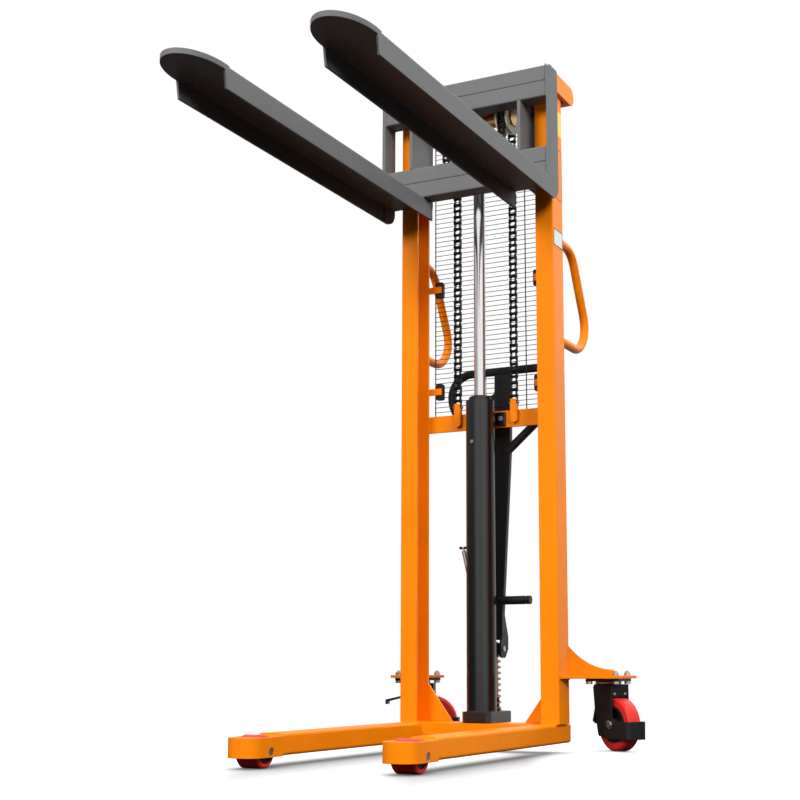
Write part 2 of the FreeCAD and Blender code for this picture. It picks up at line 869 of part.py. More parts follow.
def release_lever():
    axis = V(release_foot_x, release_y, block_top + release_foot_rise)
    bend = V(release_bend_x, release_y, release_bend_z)
    tip = V(release_top_x, release_y, release_top_z)
    half = Y_AXIS * (release_eye_width / 2)
    middle = (release_foot_radius + release_tip_radius) / 2
    stem = Part.makeCone(release_foot_radius, middle, axis.distanceToPoint(bend), axis, bend - axis)
    knee = Part.makeSphere(middle + loose_gap, bend)
    length = bend.distanceToPoint(tip) - knob_neck
    upper = Part.makeCone(middle, release_tip_radius, length, bend, tip - bend)
    neck = bar(bend, tip, knob_radius)
    knob = bar(tip - X_AXIS * knob_half_length, tip + X_AXIS * knob_half_length, knob_radius)
    eye = bar(axis - half, axis + half, release_eye_radius)
    hole = bar(axis - half * 2, axis + half * 2, release_pin_radius + running_gap)
    return fused(eye, stem, knee, upper, neck, knob).cut(hole)


# Chain head and chains
def crosshead():
    body = block(-crosshead_half_width, crosshead_half_width, cylinder_y - crosshead_depth / 2,
                 cylinder_y + crosshead_depth / 2, crosshead_bottom, crosshead_bottom + crosshead_height)
    body = body.makeChamfer(crosshead_edge, [edge for edge in body.Edges
                                             if abs(edge.tangentAt(edge.FirstParameter).x) > 1 - point_gap])
    sleeve = chain_x - pulley_half_width - sleeve_gap
    end = chain_x + pulley_half_width + sleeve_gap + keeper_wall
    middle = V(0, cylinder_y, pulley_z)
    body = fused(body, bar(middle - X_AXIS * sleeve, middle + X_AXIS * sleeve, sleeve_radius),
                 bar(middle - X_AXIS * end, middle + X_AXIS * end, shaft_radius))
    solids = [body]
    for side in SIDES.values():
        outer = middle + X_AXIS * (side * end)
        inner = outer - X_AXIS * (side * keeper_wall)
        solids.append(ring(inner, outer, keeper_radius, shaft_radius))
    return Part.makeCompound(solids)


def chain_pulley(side):
    groove = pulley_half_width - pulley_flange_wall
    bore = shaft_radius + running_gap
    profile = [
        (-pulley_half_width, bore), (-pulley_half_width, pulley_radius), (-groove, pulley_radius),
        (-groove, groove_radius), (groove, groove_radius), (groove, pulley_radius),
        (pulley_half_width, pulley_radius), (pulley_half_width, bore),
    ]
    centre = V(side * chain_x, cylinder_y, pulley_z)
    wheel = turned(profile, centre, X_AXIS)
    circle_radius = (bore + groove_radius) / 2
    for k in range(pulley_lighten_count):
        turn = 2 * math.pi * k / pulley_lighten_count
        spot = centre + V(0, math.cos(turn), math.sin(turn)) * circle_radius
        reach = X_AXIS * (pulley_half_width + overrun)
        wheel = wheel.cut(bar(spot - reach, spot + reach, pulley_lighten_radius))
    return wheel


def chain_run(side, y, low, high):
    middle = side * chain_x
    return block(middle - chain_width / 2, middle + chain_width / 2,
                 y - chain_depth / 2, y + chain_depth / 2, low, high)


def chain_wrap(side):
    middle = V(side * chain_x, cylinder_y, pulley_z)
    half = X_AXIS * (chain_width / 2)
    whole = ring(middle - half, middle + half, chain_outer_radius, chain_inner_radius)
    reach = chain_outer_radius + overrun
    return whole.common(block(middle.x - chain_width, middle.x + chain_width, cylinder_y - reach,
                              cylinder_y + reach, pulley_z, pulley_z + reach))


# Carriage
def carriage_beam(low, height):
    middle = low + height / 2
    high = low + height
    outline = [
        (carriage_front, low), (carriage_front, middle - beam_groove),
        (carriage_front + beam_groove, middle), (carriage_front, middle + beam_groove),
        (carriage_front, high), (beam_rear, high), (beam_rear, low),
    ]
    radii = [beam_corner, 0, 0, 0, beam_corner, beam_corner, beam_corner]
    beam = plate([V(-side_inner, y, z) for y, z in outline], radii, X_AXIS * (2 * side_inner))
    front = carriage_front + beam_wall
    rear = beam_rear - beam_wall
    for z0, z1 in ((low + beam_wall, middle - beam_wall / 2), (middle + beam_wall / 2, high - beam_wall)):
        beam = beam.cut(block(-side_inner, side_inner, front, rear, z0, z1))
    return beam


def lower_beam():
    beam = carriage_beam(lower_beam_bottom, lower_beam_height)
    front = beam_rear - beam_wall / 2
    rear = cylinder_y - chain_inner_radius
    half = chain_width / 2
    for side in SIDES.values():
        middle = side * chain_x
        lug = block(middle - half, middle + half, front, rear,
                    chain_lug_top - chain_lug_height, chain_lug_top)
        beam = fused(beam, lug)
    return beam


def side_plate(side):
    front = carriage_front - side_plate_lead
    rear = beam_rear + side_plate_tail
    outline = [(front, fork_bottom), (front, carriage_top), (rear, carriage_top), (rear, fork_bottom)]
    radii = [0, side_plate_corner, side_plate_corner, side_plate_heel]
    points = [V(side * side_inner, y, z) for y, z in outline]
    return plate(points, radii, X_AXIS * (side * side_plate_wall))


def inner_plate(side):
    low = fork_top
    high = cap_bottom - inner_plate_gap
    window_low = lower_beam_top
    window_high = carriage_top - top_beam_height
    outline = [
        (beam_rear, low), (beam_rear, window_low), (carriage_front, window_low),
        (carriage_front, window_high), (beam_rear, window_high), (beam_rear, high),
        (inner_plate_rear, high), (inner_plate_rear, low),
    ]
    radii = [0, 0, 0, 0, 0, 0, inner_plate_corner, inner_plate_corner]
    face = side * inner_plate_x
    body = plate([V(face, y, z) for y, z in outline], radii, X_AXIS * (side * inner_plate_wall))
    for z in roller_heights():
        body = fused(body, bar(V(face, 0, z), V(side * (roller_outer + stub_tail), 0, z), stub_radius))
    return body


def roller_heights():
    """Heights of the lower and upper mast rollers."""
    return fork_top + roller_low_rise, cap_bottom - inner_plate_gap - roller_high_drop


def mast_roller(side, z):
    bore = stub_radius + running_gap
    profile = [
        (roller_inner, bore), (roller_inner, roller_radius - roller_chamfer),
        (roller_inner + roller_chamfer, roller_radius), (roller_outer - roller_chamfer, roller_radius),
        (roller_outer, roller_radius - roller_chamfer), (roller_outer, bore),
    ]
    return turned(profile, V(0, 0, z), X_AXIS * side)


def fork(side):
    middle = side * fork_centre
    half = fork_width / 2
    inner = half - skirt_wall
    under = fork_top - fork_wall
    outline = [(-half, fork_bottom), (-half, fork_top), (half, fork_top), (half, fork_bottom),
               (inner, fork_bottom), (inner, under), (-inner, under), (-inner, fork_bottom)]
    radii = [0, fork_bend, fork_bend, 0, 0, 0, 0, 0]
    points = [V(middle + x, beam_rear, z) for x, z in outline]
    channel = plate(points, radii, Y_AXIS * (-skirt_reach - beam_rear))
    rake = [(-skirt_reach + skirt_rake, fork_bottom), (-skirt_reach, under), (-skirt_reach - overrun, under),
            (-skirt_reach - overrun, fork_bottom)]
    points = [V(middle - half, y, z) for y, z in rake]
    channel = channel.cut(plate(points, [0] * len(rake), X_AXIS * fork_width))
    back = -skirt_reach + tip_overlap
    centre = V(middle, -skirt_reach, fork_top)
    short, long = sorted([V(middle, -fork_reach, fork_top), V(middle + half, -skirt_reach, fork_top)],
                         key=centre.distanceToPoint)
    disc = Part.Face(Part.Wire(Part.Ellipse(long, short, centre).toShape()))
    tip = disc.extrude(Z_AXIS * -tip_wall).common(
        block(middle - half, middle + half, -fork_reach, back, fork_top - tip_wall, fork_top))
    front = carriage_front - side_plate_lead
    seat = block(side * side_inner, side * carriage_width / 2, front, beam_rear, fork_bottom, fork_top)
    heel = block(middle - half, middle + half, carriage_front - heel_lead, beam_rear,
                 lower_beam_bottom, fork_top)
    return fused(channel, tip).cut(seat).cut(heel)


# Load wheels
def load_tyre(side):
    half = load_wheel_width / 2
    inner = load_wheel_radius - load_tyre_wall
    shoulder = load_wheel_radius - load_tyre_chamfer
    profile = [(-half, inner), (-half, shoulder), (-half + load_tyre_chamfer, load_wheel_radius),
               (half - load_tyre_chamfer, load_wheel_radius), (half, shoulder), (half, inner)]
    return turned(profile, V(side * leg_x, load_axle_y, load_wheel_radius), X_AXIS)


def load_hub(side):
    half = load_wheel_width / 2
    outer = load_wheel_radius - load_tyre_wall
    bore = load_axle_radius + running_gap
    face = half - load_hub_recess
    boss = nose_width / 2 - nose_wall - loose_gap
    profile = [(-boss, bore), (-boss, load_hub_boss), (-face, load_hub_boss), (-face, outer), (face, outer),
               (face, load_hub_boss), (boss, load_hub_boss), (boss, bore)]
    return turned(profile, V(side * leg_x, load_axle_y, load_wheel_radius), X_AXIS)


def load_axle(side):
    half = X_AXIS * (nose_width / 2 - load_axle_inset)
    middle = V(side * leg_x, load_axle_y, load_wheel_radius)
    return bar(middle - half, middle + half, load_axle_radius)


# Caster brackets
def caster_bracket(side):
    inner = mast_width / 2
    outer = inner + bracket_width
    outline = [(inner, bracket_front), (outer, bracket_shoulder),
               (outer, bracket_rear), (inner, bracket_rear)]
    points = [V(side * x, y, bracket_bottom) for x, y in outline]
    body = plate(points, [0, bracket_corner, bracket_corner, bracket_corner], Z_AXIS * bracket_wall)
    return drilled(body, side)


def caster_brace(side):
    """Swept brace from the post's rear corner out over the bracket plate."""
    foot = bracket_bottom + bracket_wall
    corner = V(side * mast_width / 2, post_depth / 2, foot)
    end = V(side * brace_end_x, brace_end_y, foot)
    way = (end - corner).normalize()
    across = V(-way.y, way.x, 0) * (brace_wall / 2)
    start = corner - way * brace_wall
    top = start + Z_AXIS * brace_rise
    tail = end + Z_AXIS * brace_tail_rise
    sag = (top + tail) / 2 - Z_AXIS * (brace_sag_share * (top.z - tail.z))
    runs = [(start, end), (end, tail), (top, start)]
    edges = [Part.LineSegment(a - across, b - across).toShape() for a, b in runs]
    edges.append(Part.Arc(tail - across, sag - across, top - across).toShape())
    body = Part.Face(Part.Wire(Part.__sortEdges__(edges))).extrude(across * 2)
    inner = side * (mast_width / 2 - post_flange)
    outer = side * mast_width / 2
    return body.cut(block(inner, outer, -post_depth / 2, post_depth / 2, foot, foot + brace_rise))


# Swivel casters, drawn along +X from a swivel axis at the origin and then turned into place
def caster_placed(shape, name):
    shape = shape.copy()
    shape.rotate(V(), Z_AXIS, caster_angle[name])
    shape.translate(V(SIDES[name] * swivel_x, swivel_y, 0))
    return shape


def caster_bolt_places(side):
    """Centres of the four bolts that hold a caster's top plate."""
    return [(side * swivel_x + x * caster_bolt_x / 2, swivel_y + y * caster_bolt_y / 2)
            for x in (-1, 1) for y in (-1, 1)]


def drilled(body, side):
    """The body with the four bolt holes of a caster through it."""
    for x, y in caster_bolt_places(side):
        low = V(x, y, caster_plate_bottom - overrun)
        high = V(x, y, bracket_bottom + bracket_wall + overrun)
        body = body.cut(bar(low, high, caster_bolt_radius + running_gap))
    return body


def caster_plate(side):
    half_x = caster_plate_x / 2
    half_y = caster_plate_y / 2
    outline = [(-half_x, -half_y), (half_x, -half_y), (half_x, half_y), (-half_x, half_y)]
    points = [V(side * swivel_x + x, swivel_y + y, caster_plate_bottom) for x, y in outline]
    body = drilled(plate(points, [caster_plate_corner] * 4, Z_AXIS * caster_plate_wall), side)
    seat = V(side * swivel_x, swivel_y, caster_plate_bottom)
    race = bar(seat - Z_AXIS * raceway_height, seat, raceway_radius)
    drop = caster_plate_bottom - crown_bottom + loose_gap + kingpin_nut_height
    pin = bar(seat - Z_AXIS * drop, seat, kingpin_radius)
    return fused(body, race, pin)


def caster_fasteners(side):
    solids = []
    top = bracket_bottom + bracket_wall
    for x, y in caster_bolt_places(side):
        head = V(x, y, caster_plate_bottom)
        nut = V(x, y, top)
        dome = nut + Z_AXIS * caster_nut_height
        shank = bar(head, dome, caster_bolt_radius)
        cap = Part.makeSphere(caster_dome_radius, dome).common(
            bar(dome, dome + Z_AXIS * caster_dome_radius, caster_dome_radius))
        solids.append(fused(shank, hexagon(head, Z_AXIS * -1, caster_nut_radius, caster_nut_height),
                            hexagon(nut, Z_AXIS, caster_nut_radius, caster_nut_height), cap))
    centre = V(side * swivel_x, swivel_y, crown_bottom - loose_gap)
    nut = hexagon(centre, Z_AXIS * -1, kingpin_nut_radius, kingpin_nut_height)
    solids.append(nut.cut(bar(centre, centre - Z_AXIS * kingpin_nut_height, kingpin_radius)))
    return Part.makeCompound(solids)


def caster_fork():
    outline = [(-crown_lead, -fork_leg_outer), (crown_tail, -fork_leg_outer),
               (crown_tail, fork_leg_outer), (-crown_lead, fork_leg_outer)]
    radii = [crown_corner, 0, 0, crown_corner]
    body = plate([V(x, y, crown_bottom) for x, y in outline], radii, Z_AXIS * crown_wall)
    lip = block(crown_tail - crown_lip_wall, crown_tail, -fork_leg_outer, fork_leg_outer,
                2 * caster_radius + crown_lip_gap, crown_top)
    body = fused(body, lip)
    foot = caster_radius - fork_leg_foot
    heel = caster_trail + fork_leg_heel
    shoulder = caster_radius + fork_leg_shoulder
    for side in SIDES.values():
        outline = [
            (-crown_lead + crown_corner, crown_top), (crown_tail, crown_top), (crown_tail, shoulder),
            (heel, shoulder), (heel, foot), (caster_trail - fork_leg_toe, foot),
            (caster_trail - fork_leg_knee, caster_radius + fork_leg_knee_rise),
            (-crown_lead, crown_top - crown_corner),
        ]
        points = [V(x, side * fork_leg_inner, z) for x, z in outline]
        radii = [0, 0] + [fork_leg_corner] * 5 + [0]
        body = fused(body, plate(points, radii, Y_AXIS * (side * fork_leg_wall)))
    pivot = V(-brake_pivot_lead, 0, crown_bottom - brake_pivot_drop)
    half = Y_AXIS * fork_leg_outer
    body = fused(body, bar(pivot - half, pivot + half, brake_pin_radius))
    low = Z_AXIS * (crown_bottom - overrun)
    high = Z_AXIS * (crown_top + overrun)
    body = body.cut(bar(low, high, kingpin_radius + running_gap))
    axle = V(caster_trail, 0, caster_radius)
    reach = half + Y_AXIS * overrun
    return body.cut(bar(axle - reach, axle + reach, caster_axle_radius))


def caster_guard():
    """Foot guard bent round the trailing side of the wheel."""
    def bow(half, end, corner):
        outline = [(guard_tail, -half), (end, -half), (end, half), (guard_tail, half)]
        points = [V(x, y, guard_bottom) for x, y in outline]
        return plate(points, [0, corner, corner, 0], Z_AXIS * guard_height)

    band = bow(fork_leg_outer + guard_wall, guard_reach, guard_corner)
    band = band.cut(bow(fork_leg_outer, guard_reach - guard_wall, guard_corner - guard_wall))
    axle = V(caster_trail, 0, caster_radius)
    reach = Y_AXIS * (fork_leg_outer + guard_wall + overrun)
    return band.cut(bar(axle - reach, axle + reach, caster_axle_radius))


def caster_axle():
    face = fork_leg_outer + guard_wall
    axle = V(caster_trail, 0, caster_radius)
    shank = bar(axle - Y_AXIS * face, axle + Y_AXIS * face, caster_axle_radius)
    heads = [hexagon(axle + Y_AXIS * (side * face), Y_AXIS * side, caster_axle_head, caster_axle_head_height)
             for side in SIDES.values()]
    return fused(shank, *heads)


def caster_tyre():
    half = caster_width / 2
    inner = caster_radius - caster_tyre_wall
    shoulder = caster_radius - caster_tread_chamfer
    profile = [(-half, inner), (-half, shoulder), (-half + caster_tread_chamfer, caster_radius),
               (half - caster_tread_chamfer, caster_radius), (half, shoulder), (half, inner)]
    return turned(profile, V(caster_trail, 0, caster_radius), Y_AXIS)


def caster_hub():
    rim = caster_radius - caster_tyre_wall
    half = caster_width / 2
    boss = caster_hub_width / 2
    web = caster_hub_web / 2
    inside = rim - caster_rim_wall
    bore = caster_axle_radius + running_gap
    profile = [
        (-boss, bore), (-boss, caster_hub_boss), (-web, caster_hub_boss), (-web, inside), (-half, inside),
        (-half, rim), (half, rim), (half, inside), (web, inside), (web, caster_hub_boss),
        (boss, caster_hub_boss), (boss, bore),
    ]
    return turned(profile, V(caster_trail, 0, caster_radius), Y_AXIS)


def brake_pedal(turn):
    pivot = V(-brake_pivot_lead, 0, crown_bottom - brake_pivot_drop)
    half = Y_AXIS * brake_half_width
    tip = pivot - X_AXIS * brake_reach - Z_AXIS * brake_fall
    drop = Z_AXIS * -brake_wall
    lip = tip + X_AXIS * brake_wall - Z_AXIS * brake_lip
    outline = [pivot, tip, tip - Z_AXIS * brake_lip, lip, tip + X_AXIS * brake_wall + drop, pivot + drop]
    arm = plate([point - half for point in outline], [0] * len(outline), half * 2)
    body = fused(bar(pivot - half, pivot + half, brake_eye_radius), arm)
    body = body.cut(bar(pivot - half, pivot + half, brake_pin_radius + running_gap))
    body.rotate(pivot, Y_AXIS * -1, turn)
    return body


def caster_nodes(name):
    """The pieces of one caster that turn with it."""
    return {
        f"{name}_caster_fork": caster_placed(Part.makeCompound([caster_fork(), caster_guard()]), name),
        f"{name}_caster_axle": caster_placed(caster_axle(), name),
        f"{name}_caster_tyre": caster_placed(caster_tyre(), name),
        f"{name}_caster_hub": caster_placed(caster_hub(), name),
        f"{name}_brake_pedal": caster_placed(brake_pedal(brake_angle[name]), name),
    }


# The whole assembly, one entry for each node
def pair(make):
    """The left and right solids of a like pair, in one node."""
    return Part.makeCompound([make(side) for side in SIDES.values()])


def assembly():
    loop = lever_loop()
    pedal = foot_pedal()
    rear_run = cylinder_y + pulley_pitch_radius
    front_run = cylinder_y - pulley_pitch_radius
    nodes = {
        "mast_cap": mast_cap(),
        "mast_crossbar": mast_crossbar(),
        "leg_noses": pair(nose),
        "base_crossmember": base_crossmember(),
        "frame_gussets": Part.makeCompound([pair(post_gusset), pair(caster_brace)]),
        "caster_brackets": pair(caster_bracket),
        "guard_screen": guard_screen(),
        "guard_clips": Part.makeCompound([guard_clip(side, z) for side, z in clip_places()]),
        "guard_pads": Part.makeCompound([guard_pad(side, z) for side, z in clip_places()]),
        "pump_block": pump_block(),
        "tank_tube": tank_tube(),
        "cylinder_barrel": cylinder_barrel(),
        "gland_cap": gland_cap(),
        "tube_saddle": tube_saddle(),
        "fixed_axles": Part.makeCompound([pair(load_axle), pivot_pin()]),
        "caster_plates": pair(caster_plate),
        "frame_fasteners": Part.makeCompound(cylinder_fasteners() + [pair(caster_fasteners)]),
        "pump_spring": pump_spring(),
        "chain_anchor_runs": pair(lambda side: chain_run(side, rear_run, lug_top, pulley_z)),
        "piston_rod": piston_rod(),
        "crosshead": crosshead(),
        "chain_wraps": pair(chain_wrap),
        "top_beam": carriage_beam(carriage_top - top_beam_height, top_beam_height),
        "lower_beam": lower_beam(),
        "side_plates": pair(side_plate),
        "inner_plates": pair(inner_plate),
        "chain_carriage_runs": pair(lambda side: chain_run(side, front_run, chain_lug_top, pulley_z)),
        "lever_arm": lever_arm(loop, pedal),
        "lever_loop": loop,
        "foot_pedal": pedal,
        "plunger": plunger(),
        "release_lever": release_lever(),
    }
    low_roller, high_roller = roller_heights()
    for name, side in SIDES.items():
        nodes[f"{name}_mast_post"] = mast_post(side)
        nodes[f"{name}_leg"] = leg(side)
        nodes[f"{name}_push_handle"] = push_handle(side)
        nodes[f"{name}_chain_pulley"] = chain_pulley(side)
        nodes[f"{name}_fork"] = fork(side)
        nodes[f"{name}_low_roller"] = mast_roller(side, low_roller)
        nodes[f"{name}_high_roller"] = mast_roller(side, high_roller)
        nodes[f"{name}_load_tyre"] = load_tyre(side)
        nodes[f"{name}_load_hub"] = load_hub(side)
        nodes.update(caster_nodes(name))
    return nodes


os.makedirs("parts", exist_ok=True)
for node, shape in assembly().items():
    shape.translate(Y_AXIS * mast_y)
    shape.exportStep(f"parts/{node}.step")
print("carriage travel, mm:", lift_travel)
print("mast centre in Y, mm:", mast_y)
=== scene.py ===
"""Hand pallet stacker: finishes, chains, guard, spring, welds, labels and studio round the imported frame."""
import json
import math

import bmesh
import bpy
from bpy.props import FloatProperty, FloatVectorProperty, IntProperty, PointerProperty
from mathutils import Matrix, Vector


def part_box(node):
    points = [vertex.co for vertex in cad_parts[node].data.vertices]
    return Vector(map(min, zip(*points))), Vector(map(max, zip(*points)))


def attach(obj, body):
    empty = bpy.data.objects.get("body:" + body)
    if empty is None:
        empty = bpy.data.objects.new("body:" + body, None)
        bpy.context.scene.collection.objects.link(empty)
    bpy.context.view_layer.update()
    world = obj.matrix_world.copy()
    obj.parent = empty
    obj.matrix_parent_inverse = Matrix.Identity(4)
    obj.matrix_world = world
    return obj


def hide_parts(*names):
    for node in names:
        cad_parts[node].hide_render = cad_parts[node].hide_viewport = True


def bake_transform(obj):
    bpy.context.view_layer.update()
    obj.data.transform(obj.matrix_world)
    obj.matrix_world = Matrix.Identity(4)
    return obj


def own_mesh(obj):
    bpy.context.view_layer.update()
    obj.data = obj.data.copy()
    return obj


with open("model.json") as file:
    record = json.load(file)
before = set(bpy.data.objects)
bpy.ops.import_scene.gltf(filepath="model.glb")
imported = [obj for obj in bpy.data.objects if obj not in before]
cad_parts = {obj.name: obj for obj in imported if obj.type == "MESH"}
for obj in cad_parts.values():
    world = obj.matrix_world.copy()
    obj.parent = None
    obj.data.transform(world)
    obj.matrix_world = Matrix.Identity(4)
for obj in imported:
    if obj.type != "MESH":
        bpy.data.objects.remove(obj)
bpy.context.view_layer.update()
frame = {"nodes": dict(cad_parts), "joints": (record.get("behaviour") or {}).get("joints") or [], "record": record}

bl_info = {
    "name": "Hand Pallet Stacker",
    "version": (1, 0, 0),
    "blender": (4, 5, 0),
    "location": "View3D > Sidebar > Stacker",
    "description": "Dresses the packed frame of a hand pallet stacker with its finishes and small parts",
    "category": "Object",
}

SIDES = {"left": -1, "right": 1}

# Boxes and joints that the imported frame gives
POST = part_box("right_mast_post")
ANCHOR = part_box("chain_anchor_runs")
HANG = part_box("chain_carriage_runs")
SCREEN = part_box("guard_screen")
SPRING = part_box("pump_spring")
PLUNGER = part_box("plunger")
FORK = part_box("right_fork")
TOP_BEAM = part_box("top_beam")
LOW_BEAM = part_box("lower_beam")
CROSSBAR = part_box("mast_crossbar")
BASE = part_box("base_crossmember")
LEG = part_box("right_leg")
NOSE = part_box("leg_noses")
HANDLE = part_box("right_push_handle")
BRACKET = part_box("caster_brackets")
RIGHT_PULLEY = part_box("right_chain_pulley")
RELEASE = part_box("release_lever")
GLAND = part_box("gland_cap")
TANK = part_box("tank_tube")
JOINTS = {joint["name"]: joint for joint in frame["joints"]}
MAST_Y = (POST[0].y + POST[1].y) / 2
CHAIN_X = (RIGHT_PULLEY[0].x + RIGHT_PULLEY[1].x) / 2
ANCHOR_Y = (ANCHOR[0].y + ANCHOR[1].y) / 2
HANG_Y = (HANG[0].y + HANG[1].y) / 2

# Angles above which an edge stays sharp, in degrees
LINK_ANGLE = 35.0
TRIM_ANGLE = 40.0
WIRE_ANGLE = 50.0
BEAD_ANGLE = 60.0

# Chain links, as shares of a plate's wall or half height
PLATE_GAP_SHARE = 0.12
PIN_STAND_SHARE = 0.75
OUTER_PLATE_SHARE = 0.94
WAIST_SHARE = 0.68
PLATE_ARC_STEPS = 6
ANCHOR_SUNK = 0.010

# Guard screen
COLUMN_SHARES = (0.0, 0.412, 0.825, 1.0)
COLUMN_INSET = 0.0015
COLUMN_NEST_SHARE = 0.9

# Pump spring
SPRING_RADIUS = 0.018
CLOSED_RISE = 0.0049
COIL_STEPS = 24

# Weld beads
WELD_SUNK_SHARE = 0.3
RIPPLE_SCALE = (1.0, 1.0, 0.75)
LEG_EDGE = 0.006
CROSSBAR_LIP = 0.008
CROSSBAR_SEAM = 0.05
HANDLE_ENDS = (1.486, 1.186)
HANDLE_RING_STEPS = 24
TANK_RING_STEPS = 48
FORK_EDGE = 0.006
FORK_WALL = 0.010
STITCHES = 4
FIRST_STITCH_Y = -0.568
STITCH_PITCH = 0.304
STITCH_HALF = 0.022
STITCH_INSET = 0.020

# Bare labels: name, finish, low edge, high edge, corner radius, share of the wall, width of the border
LABELS = (
    ("post_label", "label", 1.457, 1.508, 0.003, 1.0, 0.0),
    ("post_label_border", "ink", 1.457, 1.508, 0.003, 1.4, 0.0028),
    ("post_sticker", "sticker", 1.806, 1.882, 0.003, 1.0, 0.0),
    ("post_border", "ink", 1.604, 1.762, 0.004, 1.0, 0.0020),
)
LABEL_FRONT = -0.035
LABEL_BACK = 0.036
CORNER_STEPS = 4
CORNER_SHARE = 0.8

# Outlines that are turned round an axis, as height and radius
RACE_STEPS = 8
RIVET_SUNK = 0.001
RIVET_DOME = ((0.0, 1.0), (0.35, 0.86), (0.55, 0.5))
WASHER_OUTLINE = ((0.0, 0.0065), (0.0, 0.0122), (0.0016, 0.0122), (0.0016, 0.0065), (0.0, 0.0065))
PIN_OUTLINE = ((-0.004, 0.0038), (0.0, 0.0038), (0.0, 0.0056), (0.0022, 0.0056), (0.003, 0.0042))
PIN_STAND = 0.0125
PIN_DROP = 0.011
GRIP_START = (0.0034, 0.0036)
GRIP_HEIGHTS = (0.0042, 0.0105, 0.0116)
GRIP_END_SHARE = 0.8
TIP_INSET = 0.011
TIP_DROP = 0.003

# Paints: slot, name, colour, edge colour (rubbed coat and a painted highlight), roughness, peel, share of that
# edge colour, dust, gloss
PAINTS = (
    ("orange_paint", "orange_powder_coat", "orange", "orange_worn", 0.34, 420.0, 0.5, 0.02, 0.16),
    ("carriage_paint", "charcoal_satin_paint", "charcoal", "charcoal_worn", 0.44, 520.0, 0.7, 0.05, 0.14),
    ("black_paint", "black_gloss_paint", "black", "black_worn", 0.20, 460.0, 0.5, 0.03, 0.8),
    ("satin_black", "black_satin_paint", "satin", "black_worn", 0.42, 460.0, 0.5, 0.03, 0.4),
    ("weld", "bare_weld_stitches", "weld", "charcoal_worn", 0.5, 300.0, 0.3, 0.02, 0.4),
)
SATIN_NODES = ("lever_arm", "lever_loop", "foot_pedal", "caster_plates", "left_caster_fork",
               "right_caster_fork", "left_brake_pedal", "right_brake_pedal")
# Metals: slot, name, colour, second colour, roughness, scale of the lines, their stretch, grain
EVEN = (1.0, 1.0, 1.0)
METALS = (
    ("chromed_rod", "hard_chrome", "chrome", (0.82, 0.825, 0.835), 0.17, 300.0, (1.0, 1.0, 0.02), 0.004),
    ("zinc_steel", "bright_zinc", "zinc", (0.52, 0.54, 0.57), 0.30, 260.0, EVEN, 0.10),
    ("yellow_zinc", "yellow_zinc", "yellow_zinc", (0.70, 0.43, 0.20), 0.30, 240.0, EVEN, 0.10),
    ("chain_steel", "oiled_chain_steel", "chain", (0.055, 0.052, 0.048), 0.36, 320.0, EVEN, 0.10),
    ("roller_steel", "turned_steel", "roller", (0.25, 0.25, 0.26), 0.34, 200.0, (0.1, 1.0, 1.0), 0.10),
)
# Plastics: slot, name, colour, roughness, grain, colour of the scuffs
PLASTICS = (
    ("black_plastic", "moulded_black", "plastic", 0.5, 900.0, (0.06, 0.06, 0.062)),
    ("red_polyurethane", "red_polyurethane", "red", 0.36, 600.0, (0.70, 0.05, 0.04)),
    ("pulley_nylon", "cream_nylon", "nylon", 0.42, 500.0, (0.78, 0.72, 0.56)),
)
# Smooth films, and the caster races painted pale as a highlight: slot, name, colour, roughness
FILMS = (
    # The races are steel; their pale colour is a painted highlight
    ("race", "pale_ground_race", "race", 0.3),
    ("label", "white_label_film", "label", 0.4),
    ("sticker", "yellow_sticker_film", "sticker", 0.38),
    ("ink", "black_border_film", "ink", 0.4),
)
PAINT_DUST = (0.34, 0.32, 0.29)
RUBBER_DUST = (0.30, 0.28, 0.26)
EDGE_GAIN = 5.0
PEEL_SHARE = 0.6
WAVE_SHARE = 0.4
# Painted highlight on the edges of metals: the colour raised by a gain and a lift
SHINE_GAIN = 1.25
SHINE_LIFT = 0.04

# Studio: light of the flags by the angle from the camera's side, and the lamps as name, place and size
FLAGS = ((-180, 0.3), (-130, 0.06), (-62, 0.08), (-47, 0.4), (-38, 0.8), (0, 0.72), (15, 0.95), (35, 1.0),
         (50, 0.4), (62, 0.05), (92, 0.04), (102, 0.4), (125, 0.7), (160, 0.6), (180, 0.3))
LAMPS = (("key", (3.9, -2.6, 3.2), 2.0), ("fill", (-1.3, -4.2, 3.2), 2.0),
         ("top", (0.4, 0.4, 4.6), 3.0), ("rim", (0.8, 4.0, 2.8), 2.2))
LAMP_AIM = Vector((0.0, 0.1, 1.0))
SENSOR_WIDTH = 36.0
WHITE = (1.0, 1.0, 1.0, 1.0)
FLOOR_HALF = 6.0
FLOOR_BOUNCE = 0.04
FLOOR_MIRROR = 0.04
FADE_START = 1.3
FADE_END = 2.6
# Soft painted shadow of the legs on the floor, laid by place rather than cast by a lamp
SHADE_SLANT = 2.02
SHADE_REACH = 0.42
SHADE_DEPTH = 0.5
SHADE_EDGE = 0.10
SHADE_FRONT = (-0.22, 0.12)
SHADE_BACK = (-0.30, -0.02)


def colour(name, words, default):
    return FloatVectorProperty(name=name, description=words, default=default, subtype="COLOR", size=3,
                               min=0.0, max=1.0)


def length(name, words, default):
    return FloatProperty(name=name, description=words, default=default, subtype="DISTANCE", unit="LENGTH",
                         min=0.0001, max=3.0, precision=5)


def count(name, words, default, low, high):
    return IntProperty(name=name, description=words, default=default, min=low, max=high)


def angle(name, words, degrees):
    return FloatProperty(name=name, description=words, default=math.radians(degrees), subtype="ANGLE",
                         unit="ROTATION")


def power(name, words, default):
    return FloatProperty(name=name, description=words, default=default, unit="POWER", min=0.0)


